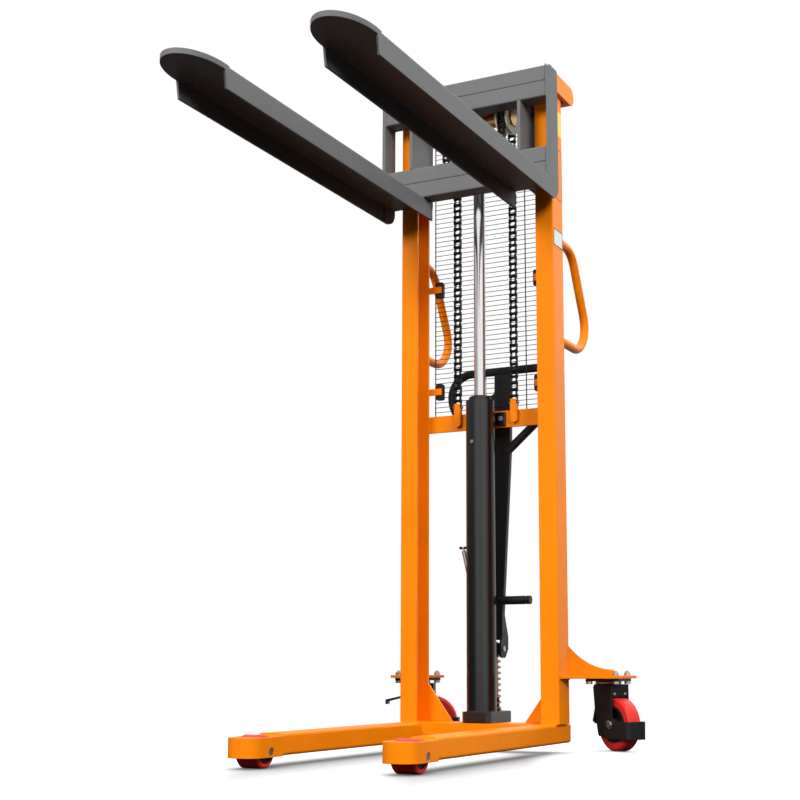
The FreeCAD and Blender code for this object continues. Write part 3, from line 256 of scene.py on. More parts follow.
class StackerColours(bpy.types.PropertyGroup):
    """Colours of the finishes, as linear light."""
    orange: colour("Orange coat", "Powder coat of the mast and chassis", (0.95, 0.243, 0.0022))
    # Lighter along the edges: rubbed coat and a painted highlight
    orange_worn: colour("Orange edge wear and highlight", "Orange along edges: thinned coat and a painted highlight", (1.0, 0.32, 0.012))
    charcoal: colour("Carriage grey", "Satin paint of the forks and carriage", (0.136, 0.1365, 0.138))
    # Lighter along the edges: rubbed paint and a painted highlight
    charcoal_worn: colour("Grey edge wear and highlight", "Grey along edges: thinned paint and a painted highlight", (0.185, 0.185, 0.188))
    black: colour("Pump black", "Gloss paint of the lift cylinder", (0.0036, 0.0037, 0.0039))
    satin: colour("Satin black", "Paint of the pump lever and casters", (0.0115, 0.0115, 0.012))
    # Lighter along the edges: rubbed paint and a painted highlight
    black_worn: colour("Black edge wear and highlight", "Black along edges: thinned paint and a painted highlight", (0.030, 0.030, 0.032))
    weld: colour("Weld grey", "Bare stitches under the forks", (0.075, 0.075, 0.078))
    red: colour("Wheel red", "Polyurethane of the wheels", (0.72, 0.028, 0.022))
    plastic: colour("Moulded black", "Hubs and pads", (0.010, 0.010, 0.0105))
    nylon: colour("Pulley cream", "Natural nylon of the chain pulleys", (0.66, 0.58, 0.40))
    zinc: colour("Zinc", "Bright plated bolts and pins", (0.66, 0.67, 0.69))
    yellow_zinc: colour("Yellow zinc", "Plated spring and chain head", (0.62, 0.40, 0.13))
    chrome: colour("Rod chrome", "Hard chrome of the piston rod", (0.86, 0.865, 0.875))
    chain: colour("Chain steel", "Oiled chain plates and rollers", (0.020, 0.020, 0.021))
    roller: colour("Roller steel", "Turned steel of the mast rollers", (0.33, 0.33, 0.34))
    # Pale colour of the steel races: a painted highlight
    race: colour("Race painted highlight", "Pale ground races of the casters", (0.80, 0.80, 0.81))
    label: colour("Label white", "Bare label on the right post", (0.70, 0.70, 0.695))
    sticker: colour("Sticker yellow", "Bare sticker on the right post", (0.90, 0.62, 0.02))
    ink: colour("Border black", "Borders of the label and sticker", (0.02, 0.02, 0.02))


class StackerSizes(bpy.types.PropertyGroup):
    """Sizes of the pieces that are added round the frame."""
    chain_links: count("Links to the anchor", "Chain links from anchor lug to pulley", 45, 9, 99)
    hang_links: count("Links to the carriage", "Chain links from pulley to carriage", 10, 4, 40)
    wrap_links: count("Links on the pulley", "Chain links over the pulley", 6, 4, 12)
    plate_half_height: length("Plate half height", "Half height of a chain plate", 0.0076)
    plate_wall: length("Plate wall", "Thickness of a chain plate", 0.0020)
    chain_inside: length("Chain inside", "Half of the room between the inner plates", 0.0068)
    roller_radius: length("Roller radius", "Radius of a chain roller", 0.0046)
    pin_radius: length("Pin radius", "Radius of a chain pin", 0.0029)
    row_wire: length("Row wire", "Radius of the guard's level wires", 0.00105)
    column_wire: length("Column wire", "Radius of the guard's upright wires", 0.0017)
    row_pitch: length("Row pitch", "Height between the guard's level wires", 0.015)
    spring_wire: length("Spring wire", "Radius of the spring's wire", 0.002)
    spring_turns: count("Spring turns", "Open turns of the pump spring", 9, 4, 20)
    weld_radius: length("Weld radius", "Radius of a weld bead's ripples", 0.0030)
    weld_step: length("Weld step", "Distance between a weld bead's ripples", 0.0026)
    label_wall: length("Label wall", "Thickness of the labels", 0.0004)
    race_radius: length("Race radius", "Middle radius of a caster's bright race", 0.0350)
    race_wall: length("Race wall", "Radius of the race's round edge", 0.0036)
    race_height: length("Race height", "Height of the race above the floor", 0.1928)
    lip_reach: length("Lip reach", "Distance of a caster's lip from its swivel", 0.052)
    rivet_radius: length("Rivet radius", "Radius of a rivet's head on a caster", 0.0048)
    rivet_spread: length("Rivet spread", "Distance between the rivets on a caster's lip", 0.038)
    rivet_height: length("Rivet height", "Height of a lip's rivets above the floor", 0.161)
    washer_place: length("Washer place", "Distance of a washer from the wheel's middle", 0.035)
    grip_radius: length("Grip radius", "Radius of the release lever's grip", 0.0042)


class StackerStudio(bpy.types.PropertyGroup):
    """Camera and light of the studio."""
    camera_place: FloatVectorProperty(name="Camera place", description="Where the camera stands", size=3,
                                      default=(1.6622, -3.1380, 0.2373), subtype="XYZ", unit="LENGTH")
    azimuth: angle("Azimuth", "Turn of the camera round the object", 26.298)
    pitch: angle("Pitch", "Upward tilt of the camera", 8.9386)
    lens: FloatProperty(name="Lens", description="Focal length in millimetres", default=61.71, min=10.0,
                        max=300.0)
    shift: FloatVectorProperty(name="Shift", description="Shift of the picture as a share of its width",
                               size=2, default=(-0.0503, 0.0643))
    white: colour("Studio floor", "Pale floor as it throws light back", (0.38, 0.38, 0.38))
    room: FloatProperty(name="Room light", description="Strength of the even light of the room", default=0.70,
                        min=0.0, max=2.0)
    key: power("Key lamp", "Power of the lamp on the right", 208.0)
    fill: power("Fill lamp", "Power of the lamp on the left", 186.0)
    top: power("Top lamp", "Power of the lamp overhead", 90.0)
    rim: power("Rim lamp", "Power of the lamp behind", 120.0)


# Node helpers
FLOAT = "NodeSocketFloat"
VECTOR = "NodeSocketVector"
INTEGER = "NodeSocketInt"
GEOMETRY = "NodeSocketGeometry"


def set_inputs(tree, made, inputs):
    """Sets or links the inputs of a node by name or number."""
    for key, value in inputs.items():
        if isinstance(value, bpy.types.NodeSocket):
            tree.links.new(value, made.inputs[key])
        else:
            made.inputs[key].default_value = value


def node(tree, kind, settings=None, inputs=None):
    """Adds a node with its settings and inputs."""
    made = tree.nodes.new(kind)
    for key, value in (settings or {}).items():
        setattr(made, key, value)
    set_inputs(tree, made, inputs or {})
    return made


def node_group(name, kind, inputs, outputs):
    """An empty group with named sockets, its inputs and its output node."""
    group = bpy.data.node_groups.new(name, kind)
    for label, socket_kind, default in inputs:
        socket = group.interface.new_socket(label, in_out="INPUT", socket_type=socket_kind)
        if default is not None:
            socket.default_value = default
    for label, socket_kind in outputs:
        group.interface.new_socket(label, in_out="OUTPUT", socket_type=socket_kind)
    return group, group.nodes.new("NodeGroupInput").outputs, group.nodes.new("NodeGroupOutput")


def math_node(tree, operation, first, second=0.0, clamp=False):
    return node(tree, "ShaderNodeMath", {"operation": operation, "use_clamp": clamp},
                {0: first, 1: second}).outputs[0]


def product(tree, first, second, clamp=False):
    return math_node(tree, "MULTIPLY", first, second, clamp)


def dot(tree, first, second):
    return node(tree, "ShaderNodeVectorMath", {"operation": "DOT_PRODUCT"},
                {0: first, 1: second}).outputs["Value"]


def remapped(tree, value, start, end, low=0.0, high=1.0, smooth=False):
    """Value carried from one range to another."""
    return node(tree, "ShaderNodeMapRange", {"interpolation_type": "SMOOTHSTEP" if smooth else "LINEAR"},
                {"Value": value, 1: start, 2: end, 3: low, 4: high}).outputs[0]


def around(tree, share, middle, swing):
    """Value that swings by a share below and above a middle."""
    return remapped(tree, share, 0.0, 1.0, middle * (1 - swing), middle * (1 + swing))


def part_of(tree, vector, axis):
    return node(tree, "ShaderNodeSeparateXYZ", None, {0: vector}).outputs[axis]


def object_noise(tree, scale, detail=3.0, stretch=None):
    """Noise on the object's own coordinates, stretched along an axis where a stretch is given."""
    place = node(tree, "ShaderNodeTexCoord").outputs["Object"]
    if stretch:
        place = node(tree, "ShaderNodeMapping", None, {"Vector": place, "Scale": stretch}).outputs["Vector"]
    return node(tree, "ShaderNodeTexNoise", None,
                {"Vector": place, "Scale": scale, "Detail": detail, "Roughness": 0.6}).outputs["Fac"]


def edge_wear_and_highlight_group():
    """Mask along the edges, broken up by noise, and a normal that rounds the edges."""
    group, given, result = node_group(
        "Edge Rub", "ShaderNodeTree",
        [("Radius", FLOAT, 0.003), ("Amount", FLOAT, 0.6), ("Break Up", FLOAT, 45.0)],
        [("Mask", FLOAT), ("Normal", VECTOR)])
    bevel = node(group, "ShaderNodeBevel", {"samples": 4}, {"Radius": given["Radius"]})
    bevel = bevel.outputs["Normal"]
    turn = dot(group, bevel, node(group, "ShaderNodeNewGeometry").outputs["Normal"])
    edge = product(group, math_node(group, "SUBTRACT", 1.0, turn, True), EDGE_GAIN, True)
    patchy = remapped(group, object_noise(group, given["Break Up"]), start=0.38, end=0.66)
    mask = product(group, product(group, edge, patchy), given["Amount"], True)
    set_inputs(group, result, {"Mask": mask, "Normal": bevel})
    return group


def coat_skin_group():
    """Height of a sprayed coat: a fine peel over a slow wave."""
    group, given, result = node_group(
        "Coat Skin", "ShaderNodeTree", [("Peel", FLOAT, 420.0), ("Wave", FLOAT, 30.0)], [("Height", FLOAT)])
    peel = product(group, object_noise(group, given["Peel"], detail=2.0), PEEL_SHARE)
    wave = product(group, object_noise(group, given["Wave"], detail=1.0), WAVE_SHARE)
    set_inputs(group, result, {"Height": math_node(group, "ADD", peel, wave)})
    return group


def tone_group():
    """Slow change of tone over a surface, and dust that settles on what faces up."""
    group, given, result = node_group(
        "Tone And Dust", "ShaderNodeTree", [("Scale", FLOAT, 6.0), ("Dust", FLOAT, 0.1)],
        [("Tone", FLOAT), ("Dust", FLOAT)])
    tone = remapped(group, object_noise(group, given["Scale"], detail=4.0), start=0.3, end=0.7)
    up = part_of(group, node(group, "ShaderNodeNewGeometry").outputs["Normal"], "Z")
    up = remapped(group, up, start=0.5, end=1.0)
    specks = remapped(group, object_noise(group, scale=160.0, detail=5.0), start=0.42, end=0.75)
    dust = product(group, product(group, up, specks), given["Dust"], True)
    set_inputs(group, result, {"Tone": tone, "Dust": dust})
    return group


def line_group():
    """Fine lines along one axis, as brushing, turning or handling leaves them."""
    group, given, result = node_group(
        "Fine Lines", "ShaderNodeTree", [("Scale", FLOAT, 60.0), ("Stretch", VECTOR, (1.0, 1.0, 0.05))],
        [("Lines", FLOAT)])
    lines = object_noise(group, given["Scale"], detail=4.0, stretch=given["Stretch"])
    set_inputs(group, result, {"Lines": lines})
    return group


GROUP_MAKERS = {"edge": edge_wear_and_highlight_group, "skin": coat_skin_group, "tone": tone_group, "lines": line_group}
made_groups = {}


def effect(tree, name, inputs):
    """Places one of the shared effects in a material with its own values."""
    if name not in made_groups:
        made_groups[name] = GROUP_MAKERS[name]()
    return node(tree, "ShaderNodeGroup", {"node_tree": made_groups[name]}, inputs).outputs


def blended(tree, share, first, second):
    """Colour that goes from first to second by a share."""
    ends = [value if isinstance(value, bpy.types.NodeSocket) else (*value, 1.0) for value in (first, second)]
    return node(tree, "ShaderNodeMix", {"data_type": "RGBA"}, {0: share, 6: ends[0], 7: ends[1]}).outputs[2]


def scaled(shade, share):
    return tuple(share * part for part in shade)


def new_material(name):
    material = bpy.data.materials.new(name)
    material.use_nodes = True
    return material, material.node_tree, material.node_tree.nodes["Principled BSDF"]


def bumped(tree, shader, height, strength, depth, normal=None):
    inputs = {"Strength": strength, "Distance": depth, "Height": height}
    if normal is not None:
        inputs["Normal"] = normal
    set_inputs(tree, shader, {"Normal": node(tree, "ShaderNodeBump", None, inputs).outputs["Normal"]})


def coat(name, base, edge_wear_and_highlight_colour, rough, peel, edge_wear_and_highlight_share, dust, gloss):
    """Sprayed metal: slow tone, lighter edges that are partly rubbed coat and partly a painted highlight, settled
    dust and the peel of the coat.
    """
    material, tree, shader = new_material(name)
    edge = effect(tree, "edge", {"Radius": 0.0025, "Amount": edge_wear_and_highlight_share, "Break Up": 38.0})
    tone = effect(tree, "tone", {"Scale": 5.0, "Dust": dust})
    skin = effect(tree, "skin", {"Peel": peel, "Wave": 26.0})
    shade = blended(tree, tone["Tone"], scaled(base, share=0.86), base)
    # Edges take the lighter colour: rubbed coat and a painted highlight
    shade = blended(tree, edge["Mask"], shade, edge_wear_and_highlight_colour)
    shade = blended(tree, tone["Dust"], shade, PAINT_DUST)
    rough = around(tree, tone["Tone"], rough, swing=0.14)
    set_inputs(tree, shader, {"Base Color": shade, "Roughness": rough, "Specular IOR Level": gloss})
    bumped(tree, shader, skin["Height"], strength=0.08, depth=0.0004, normal=edge["Normal"])
    return material


def metal(name, base, other, rough, scale, stretch, grain):
    """Bare or plated metal with fine lines, a slow change of tone and a painted highlight along the edges."""
    material, tree, shader = new_material(name)
    edge = effect(tree, "edge", {"Radius": 0.0012, "Amount": 0.35, "Break Up": 90.0})
    tone = effect(tree, "tone", {"Scale": 22.0, "Dust": 0.0})
    lines = effect(tree, "lines", {"Scale": scale, "Stretch": stretch})
    # Painted highlight: the edges take a brighter copy of the colour
    bright = tuple(min(1.0, SHINE_GAIN * part + SHINE_LIFT) for part in base)
    shade = blended(tree, edge["Mask"], blended(tree, tone["Tone"], base, other), bright)
    rough = around(tree, lines["Lines"], rough, swing=0.3)
    set_inputs(tree, shader, {"Base Color": shade, "Roughness": rough, "Metallic": 1.0})
    bumped(tree, shader, lines["Lines"], grain, depth=0.0003, normal=edge["Normal"])
    return material


def moulded(name, base, rough, grain, scuff):
    """Moulded plastic or polyurethane: fine grain, scuffs and a slow change of tone."""
    material, tree, shader = new_material(name)
    edge = effect(tree, "edge", {"Radius": 0.002, "Amount": 0.3, "Break Up": 70.0})
    tone = effect(tree, "tone", {"Scale": 14.0, "Dust": 0.10})
    skin = effect(tree, "skin", {"Peel": grain, "Wave": 60.0})
    shade = blended(tree, tone["Tone"], scaled(base, share=0.78), base)
    shade = blended(tree, edge["Mask"], shade, scuff)
    shade = blended(tree, tone["Dust"], shade, RUBBER_DUST)
    rough = around(tree, skin["Height"], rough, swing=0.2)
    set_inputs(tree, shader, {"Base Color": shade, "Roughness": rough})
    bumped(tree, shader, skin["Height"], strength=0.18, depth=0.0005, normal=edge["Normal"])
    return material


def smooth_film(name, base, rough):
    """Smooth film or ground face with a faint change of tone."""
    material, tree, shader = new_material(name)
    tone = effect(tree, "tone", {"Scale": 30.0, "Dust": 0.04})
    skin = effect(tree, "skin", {"Peel": 700.0, "Wave": 90.0})
    shade = blended(tree, tone["Tone"], scaled(base, share=0.93), base)
    rough = around(tree, skin["Height"], rough, swing=0.15)
    set_inputs(tree, shader, {"Base Color": shade, "Roughness": rough})
    bumped(tree, shader, skin["Height"], strength=0.05, depth=0.0002)
    return material


finishes = {}


def make_finishes():
    """Builds each finish of the stacker once."""
    hue = bpy.context.scene.stacker_colours
    for maker, rows, colours in ((coat, PAINTS, 2), (metal, METALS, 1), (moulded, PLASTICS, 1),
                                 (smooth_film, FILMS, 1)):
        for slot, name, *values in rows:
            shades = [tuple(getattr(hue, value)) for value in values[:colours]]
            finishes[slot] = maker(name, *shades, *values[colours:])


# Mesh helpers
def placed(name, data):
    """Links a new object that shows the given data."""
    obj = bpy.data.objects.new(name, data)
    bpy.context.scene.collection.objects.link(obj)
    return obj


def baked(holder):
    """Plain mesh of what an object shows; its modifiers and the object itself go."""
    graph = bpy.context.evaluated_depsgraph_get()
    mesh = bpy.data.meshes.new_from_object(holder.evaluated_get(graph))
    holder.modifiers.clear()
    bpy.data.objects.remove(holder)
    return mesh


def linked(name, mesh, finish, smooth=None):
    """Links a finished mesh as an object at the origin."""
    obj = placed(name, mesh)
    mesh.materials.clear()
    mesh.materials.append(finishes[finish])
    if smooth is not None:
        mesh.shade_smooth()
        mesh.set_sharp_from_angle(angle=math.radians(smooth))
    return obj


def piece(name, mesh, finish, body, smooth=None):
    """Links a finished mesh as a piece that rides on a body."""
    obj = linked(name, mesh, finish, smooth)
    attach(obj, body)
    return obj


def finished(bm, name):
    """Turns a bmesh into a mesh whose faces point outwards."""
    bmesh.ops.remove_doubles(bm, verts=bm.verts, dist=1e-7)
    bmesh.ops.recalc_face_normals(bm, faces=bm.faces)
    return plain_mesh(bm, name)


def plain_mesh(bm, name):
    mesh = bpy.data.meshes.new(name)
    bm.to_mesh(mesh)
    bm.free()
    return mesh


def joined(meshes, name):
    """One mesh from several."""
    bm = bmesh.new()
    for mesh in meshes:
        bm.from_mesh(mesh)
    return plain_mesh(bm, name)


def along(axis):
    """Matrix that turns +Z to an axis."""
    return Vector(axis).to_track_quat("Z", "Y").to_matrix().to_4x4()


def add_rod(bm, start, end, radius, sides):
    """Closed round rod from start to end."""
    start, end = Vector(start), Vector(end)
    matrix = Matrix.Translation((start + end) / 2) @ along(end - start)
    bmesh.ops.create_cone(bm, cap_ends=True, segments=sides, radius1=radius, radius2=radius,
                          depth=(end - start).length, matrix=matrix)


def turns_round(steps):
    """Cosine and sine at even turns round a closed ring."""
    turns = [2 * math.pi * k / steps for k in range(steps + 1)]
    return [(math.cos(turn), math.sin(turn)) for turn in turns]


def add_band(bm, first, second):
    """Faces between two closed rows of vertices."""
    number = len(first)
    for k in range(number):
        n = (k + 1) % number
        bm.faces.new((first[k], first[n], second[n], second[k]))


def add_turned(bm, profile, centre, axis, sides):
    """Closed solid of revolution from height and radius points; a closed profile makes a ring."""
    matrix = Matrix.Translation(Vector(centre)) @ along(axis)
    rings = []
    for height, radius in profile:
        rings.append([bm.verts.new(matrix @ Vector((radius * c, radius * s, height)))
                      for c, s in turns_round(sides)[:-1]])
    for low, high in zip(rings, rings[1:]):
        add_band(bm, low, high)
    if profile[0] != profile[-1]:
        bm.faces.new(rings[0][::-1])
        bm.faces.new(rings[-1])


def add_prism(bm, outline, depth):
    """Closed prism over an outline of points, swept by a vector."""
    low = [bm.verts.new(Vector(point)) for point in outline]
    high = [bm.verts.new(Vector(point) + Vector(depth)) for point in outline]
    bm.faces.new(low[::-1])
    bm.faces.new(high)
    add_band(bm, low, high)


# Geometry node trees
def repeat_tree(name, inputs):
    """Starts a tree that repeats a mesh; its caller gives points and turns."""
    return node_group(name, "GeometryNodeTree",
                      [("Geometry", GEOMETRY, None), *inputs, ("Material", "NodeSocketMaterial", None)],
                      [("Geometry", GEOMETRY)])


def close_tree(tree, given, result, points, mesh, inputs=None):
    """Ends a tree: the mesh on each point, made real and painted."""
    spread = node(tree, "GeometryNodeInstanceOnPoints", None,
                  {"Points": points, "Instance": mesh, **(inputs or {})})
    real = node(tree, "GeometryNodeRealizeInstances", None, {"Geometry": spread.outputs["Instances"]})
    painted = node(tree, "GeometryNodeSetMaterial", None,
                   {"Geometry": real.outputs["Geometry"], "Material": given["Material"]})
    set_inputs(tree, result, {"Geometry": painted.outputs["Geometry"]})
    return tree


def line_tree():
    """Repeats the object's mesh in even steps along a straight line."""
    tree, given, result = repeat_tree("Repeat On Line", [
        ("Count", INTEGER, 2), ("Step", VECTOR, (0.0, 0.0, 0.1))])
    points = node(tree, "GeometryNodeMeshLine", {"mode": "OFFSET"},
                  {"Count": given["Count"], "Offset": given["Step"]})
    return close_tree(tree, given, result, points.outputs["Mesh"], given["Geometry"])


def arc_tree():
    """Repeats the object's mesh round an arc about the X axis, each copy turned along the arc."""
    tree, given, result = repeat_tree("Repeat On Arc", [
        ("Count", INTEGER, 2), ("Radius", FLOAT, 0.04), ("Start", FLOAT, 0.0), ("Turn", FLOAT, 0.5)])
    number = node(tree, "GeometryNodeInputIndex").outputs[0]
    turn = math_node(tree, "ADD", product(tree, number, given["Turn"]), given["Start"])
    y = product(tree, math_node(tree, "COSINE", turn), given["Radius"])
    z = product(tree, math_node(tree, "SINE", turn), given["Radius"])
    place = node(tree, "ShaderNodeCombineXYZ", None, {"Y": y, "Z": z})
    points = node(tree, "GeometryNodePoints", None,
                  {"Count": given["Count"], "Position": place.outputs[0]})
    euler = node(tree, "ShaderNodeCombineXYZ", None, {"X": turn})
    turned = node(tree, "FunctionNodeEulerToRotation", None, {0: euler.outputs[0]})
    return close_tree(tree, given, result, points.outputs[0], given["Geometry"],
                      {"Rotation": turned.outputs[0]})


def bead_tree():
    """Lays the ripples of a weld bead along the edges of the object's mesh."""
    tree, given, result = repeat_tree("Weld Beads", [("Radius", FLOAT, 0.003), ("Step", FLOAT, 0.0026)])
    seam = node(tree, "GeometryNodeMeshToCurve", None, {"Mesh": given["Geometry"]})
    points = node(tree, "GeometryNodeCurveToPoints", {"mode": "LENGTH"},
                  {"Curve": seam.outputs[0], "Length": given["Step"]})
    ripple = node(tree, "GeometryNodeMeshUVSphere", None,
                  {"Segments": 7, "Rings": 5, "Radius": given["Radius"]})
    return close_tree(tree, given, result, points.outputs["Points"], ripple.outputs["Mesh"],
                      {"Rotation": points.outputs["Rotation"], "Scale": RIPPLE_SCALE})


TREE_MAKERS = {"line": line_tree, "arc": arc_tree, "bead": bead_tree}
made_trees = {}


def grown(mesh, tree_name, finish, values):
    """Runs a node tree on a mesh and gives back the plain mesh that it makes."""
    if tree_name not in made_trees:
        made_trees[tree_name] = TREE_MAKERS[tree_name]()
    tree = made_trees[tree_name]
    holder = placed("holder", mesh)
    modifier = holder.modifiers.new("Repeat", "NODES")
    modifier.node_group = tree
    values = {**values, "Material": finishes[finish]}
    for item in tree.interface.items_tree:
        if item.in_out == "INPUT" and item.name in values:
            modifier[item.identifier] = values[item.name]
    return baked(holder)


# Chains
def link_mesh(inner, pitch):
    """One chain link on each side, centred at the origin's height, its pins a pitch apart along Z."""
    size = bpy.context.scene.stacker_sizes
    wall = size.plate_wall
    near = size.chain_inside if inner else size.chain_inside + wall + wall * PLATE_GAP_SHARE
    high = size.plate_half_height if inner else size.plate_half_height * OUTER_PLATE_SHARE
    reach = size.chain_inside if inner else near + wall + wall * PIN_STAND_SHARE
    radius = size.roller_radius if inner else size.pin_radius
    outline = []
    for end, start in ((1, 0.0), (-1, math.pi)):
        for k in range(PLATE_ARC_STEPS + 1):
            turn = start + math.pi * k / PLATE_ARC_STEPS
            outline.append((high * math.cos(turn), end * pitch / 2 + high * math.sin(turn)))
        outline.append((-end * high * WAIST_SHARE, 0.0))
    bm = bmesh.new()
    for middle in (-CHAIN_X, CHAIN_X):
        for face in SIDES.values():
            x = middle + face * near
            add_prism(bm, [(x, y, z) for y, z in outline], (face * wall, 0.0, 0.0))
        for z in (-pitch / 2, pitch / 2):
            add_rod(bm, (middle - reach, 0.0, z), (middle + reach, 0.0, z), radius, sides=10)
    return finished(bm, "link")


def straight_links(low, high, number, y, name):
    """Links along a straight run, outer and inner ones by turns, an outer one at the bottom."""
    pitch = (high - low) / number
    meshes = []
    for parity in (0, 1):
        mesh = grown(link_mesh(parity == 1, pitch), "line", "chain_steel",
                     {"Count": (number + 1 - parity) // 2, "Step": (0.0, 0.0, 2 * pitch)})
        mesh.transform(Matrix.Translation((0.0, y, low + pitch * (parity + 0.5))))
        meshes.append(mesh)
    return joined(meshes, name)


class STACKER_OT_chains(bpy.types.Operator):
    """Lay roller chain links from the anchor lugs over the pulleys to the carriage"""
    bl_idname = "stacker.chains"
    bl_label = "Chains"

    def execute(self, context):
        size = context.scene.stacker_sizes
        mesh = straight_links(ANCHOR[0].z - ANCHOR_SUNK, ANCHOR[1].z, size.chain_links, ANCHOR_Y,
                              "anchor_links")
        anchor = piece("anchor_links", mesh, "chain_steel", "frame", LINK_ANGLE)
        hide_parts("chain_anchor_runs")
        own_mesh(anchor)
        mesh = straight_links(HANG[0].z, HANG[1].z, size.hang_links, HANG_Y, "carriage_links")
        hang = linked("carriage_links", mesh, "chain_steel", LINK_ANGLE)
        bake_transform(hang)
        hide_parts("chain_carriage_runs")
        radius = (ANCHOR_Y - HANG_Y) / 2
        turn = math.pi / size.wrap_links
        pitch = 2 * radius * math.sin(turn / 2)
        meshes = [grown(link_mesh(parity == 0, pitch), "arc", "chain_steel",
                        {"Count": size.wrap_links // 2, "Radius": radius * math.cos(turn / 2),
                         "Start": turn * (parity + 0.5), "Turn": 2 * turn}) for parity in (0, 1)]
        mesh = joined(meshes, "wrap_links")
        mesh.transform(Matrix.Translation((0.0, (ANCHOR_Y + HANG_Y) / 2, ANCHOR[1].z)))
        wrap = piece("wrap_links", mesh, "chain_steel", "piston", LINK_ANGLE)
        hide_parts("chain_wraps")
        return {"FINISHED"}


class STACKER_OT_guard(bpy.types.Operator):
    """String the round wires of the guard screen behind the mast"""
    bl_idname = "stacker.guard"
    bl_label = "Guard screen"

    def execute(self, context):
        size = context.scene.stacker_sizes
        half = SCREEN[1].x
        y = SCREEN[0].y + size.row_wire
        inset = (SCREEN[1].y - SCREEN[0].y) / 2
        low = SCREEN[0].z + inset
        high = SCREEN[1].z - inset
        bm = bmesh.new()
        add_rod(bm, (-half, y, low), (half, y, low), size.row_wire, sides=8)
        rows = round((high - low) / size.row_pitch) + 1
        meshes = [grown(finished(bm, "row"), "line", "black_paint",
                        {"Count": rows, "Step": (0.0, 0.0, size.row_pitch)})]
        bm = bmesh.new()
        behind = y + size.row_wire + size.column_wire * COLUMN_NEST_SHARE
        for share in COLUMN_SHARES:
            x = (half - COLUMN_INSET) * (2 * share - 1)
            add_rod(bm, (x, behind, SCREEN[0].z), (x, behind, SCREEN[1].z), size.column_wire, sides=10)
        meshes.append(finished(bm, "columns"))
        wires = piece("guard_wires", joined(meshes, "guard_wires"), "black_paint", "frame",
                      WIRE_ANGLE)
        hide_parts("guard_screen")
        return {"FINISHED"}


class STACKER_OT_spring(bpy.types.Operator):
    """Wind the pump's return spring round the plunger"""
    bl_idname = "stacker.spring"
    bl_label = "Pump spring"

    def execute(self, context):
        size = context.scene.stacker_sizes
        wire = size.spring_wire
        middle_y = (PLUNGER[0].y + PLUNGER[1].y) / 2
        mean = SPRING_RADIUS - wire
        low = SPRING[0].z + wire
        high = SPRING[1].z - wire
        open_rise = (high - low - 2 * CLOSED_RISE) / size.spring_turns
        rises = [CLOSED_RISE, *[open_rise] * size.spring_turns, CLOSED_RISE]
        curve = bpy.data.curves.new("return_spring", "CURVE")
        curve.dimensions = "3D"
        curve.bevel_depth = wire
        curve.bevel_resolution = 3
        curve.use_fill_caps = True
        spline = curve.splines.new("POLY")
        spline.points.add(COIL_STEPS * len(rises))
        height = low
        for k, point in enumerate(spline.points):
            turn = 2 * math.pi * k / COIL_STEPS
            point.co = (mean * math.cos(turn), middle_y + mean * math.sin(turn), height, 1.0)
            height += rises[min(k // COIL_STEPS, len(rises) - 1)] / COIL_STEPS
        mesh = baked(placed("coil", curve))
        spring = piece("return_spring", mesh, "yellow_zinc", "frame", BEAD_ANGLE)
        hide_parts("pump_spring")
        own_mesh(spring)
        return {"FINISHED"}


# Welds
def seam_mesh(lines):
    """Mesh of bare edges from lists of points."""
    mesh = bpy.data.meshes.new("seams")
    points = []
    edges = []
    for line in lines:
        edges += [(len(points) + k, len(points) + k + 1) for k in range(len(line) - 1)]
        points += [tuple(point) for point in line]
    mesh.from_pydata(points, edges, [])
    return mesh


def both_sides(lines):
    """The same lines on the right and mirrored on the left."""
    return [[(side * x, y, z) for x, y, z in line] for side in SIDES.values() for line in lines]


def lay_beads(name, lines, finish, body):
    size = bpy.context.scene.stacker_sizes
    mesh = grown(seam_mesh(lines), "bead", finish, {"Radius": size.weld_radius, "Step": size.weld_step})
    piece(name, mesh, finish, body, BEAD_ANGLE)


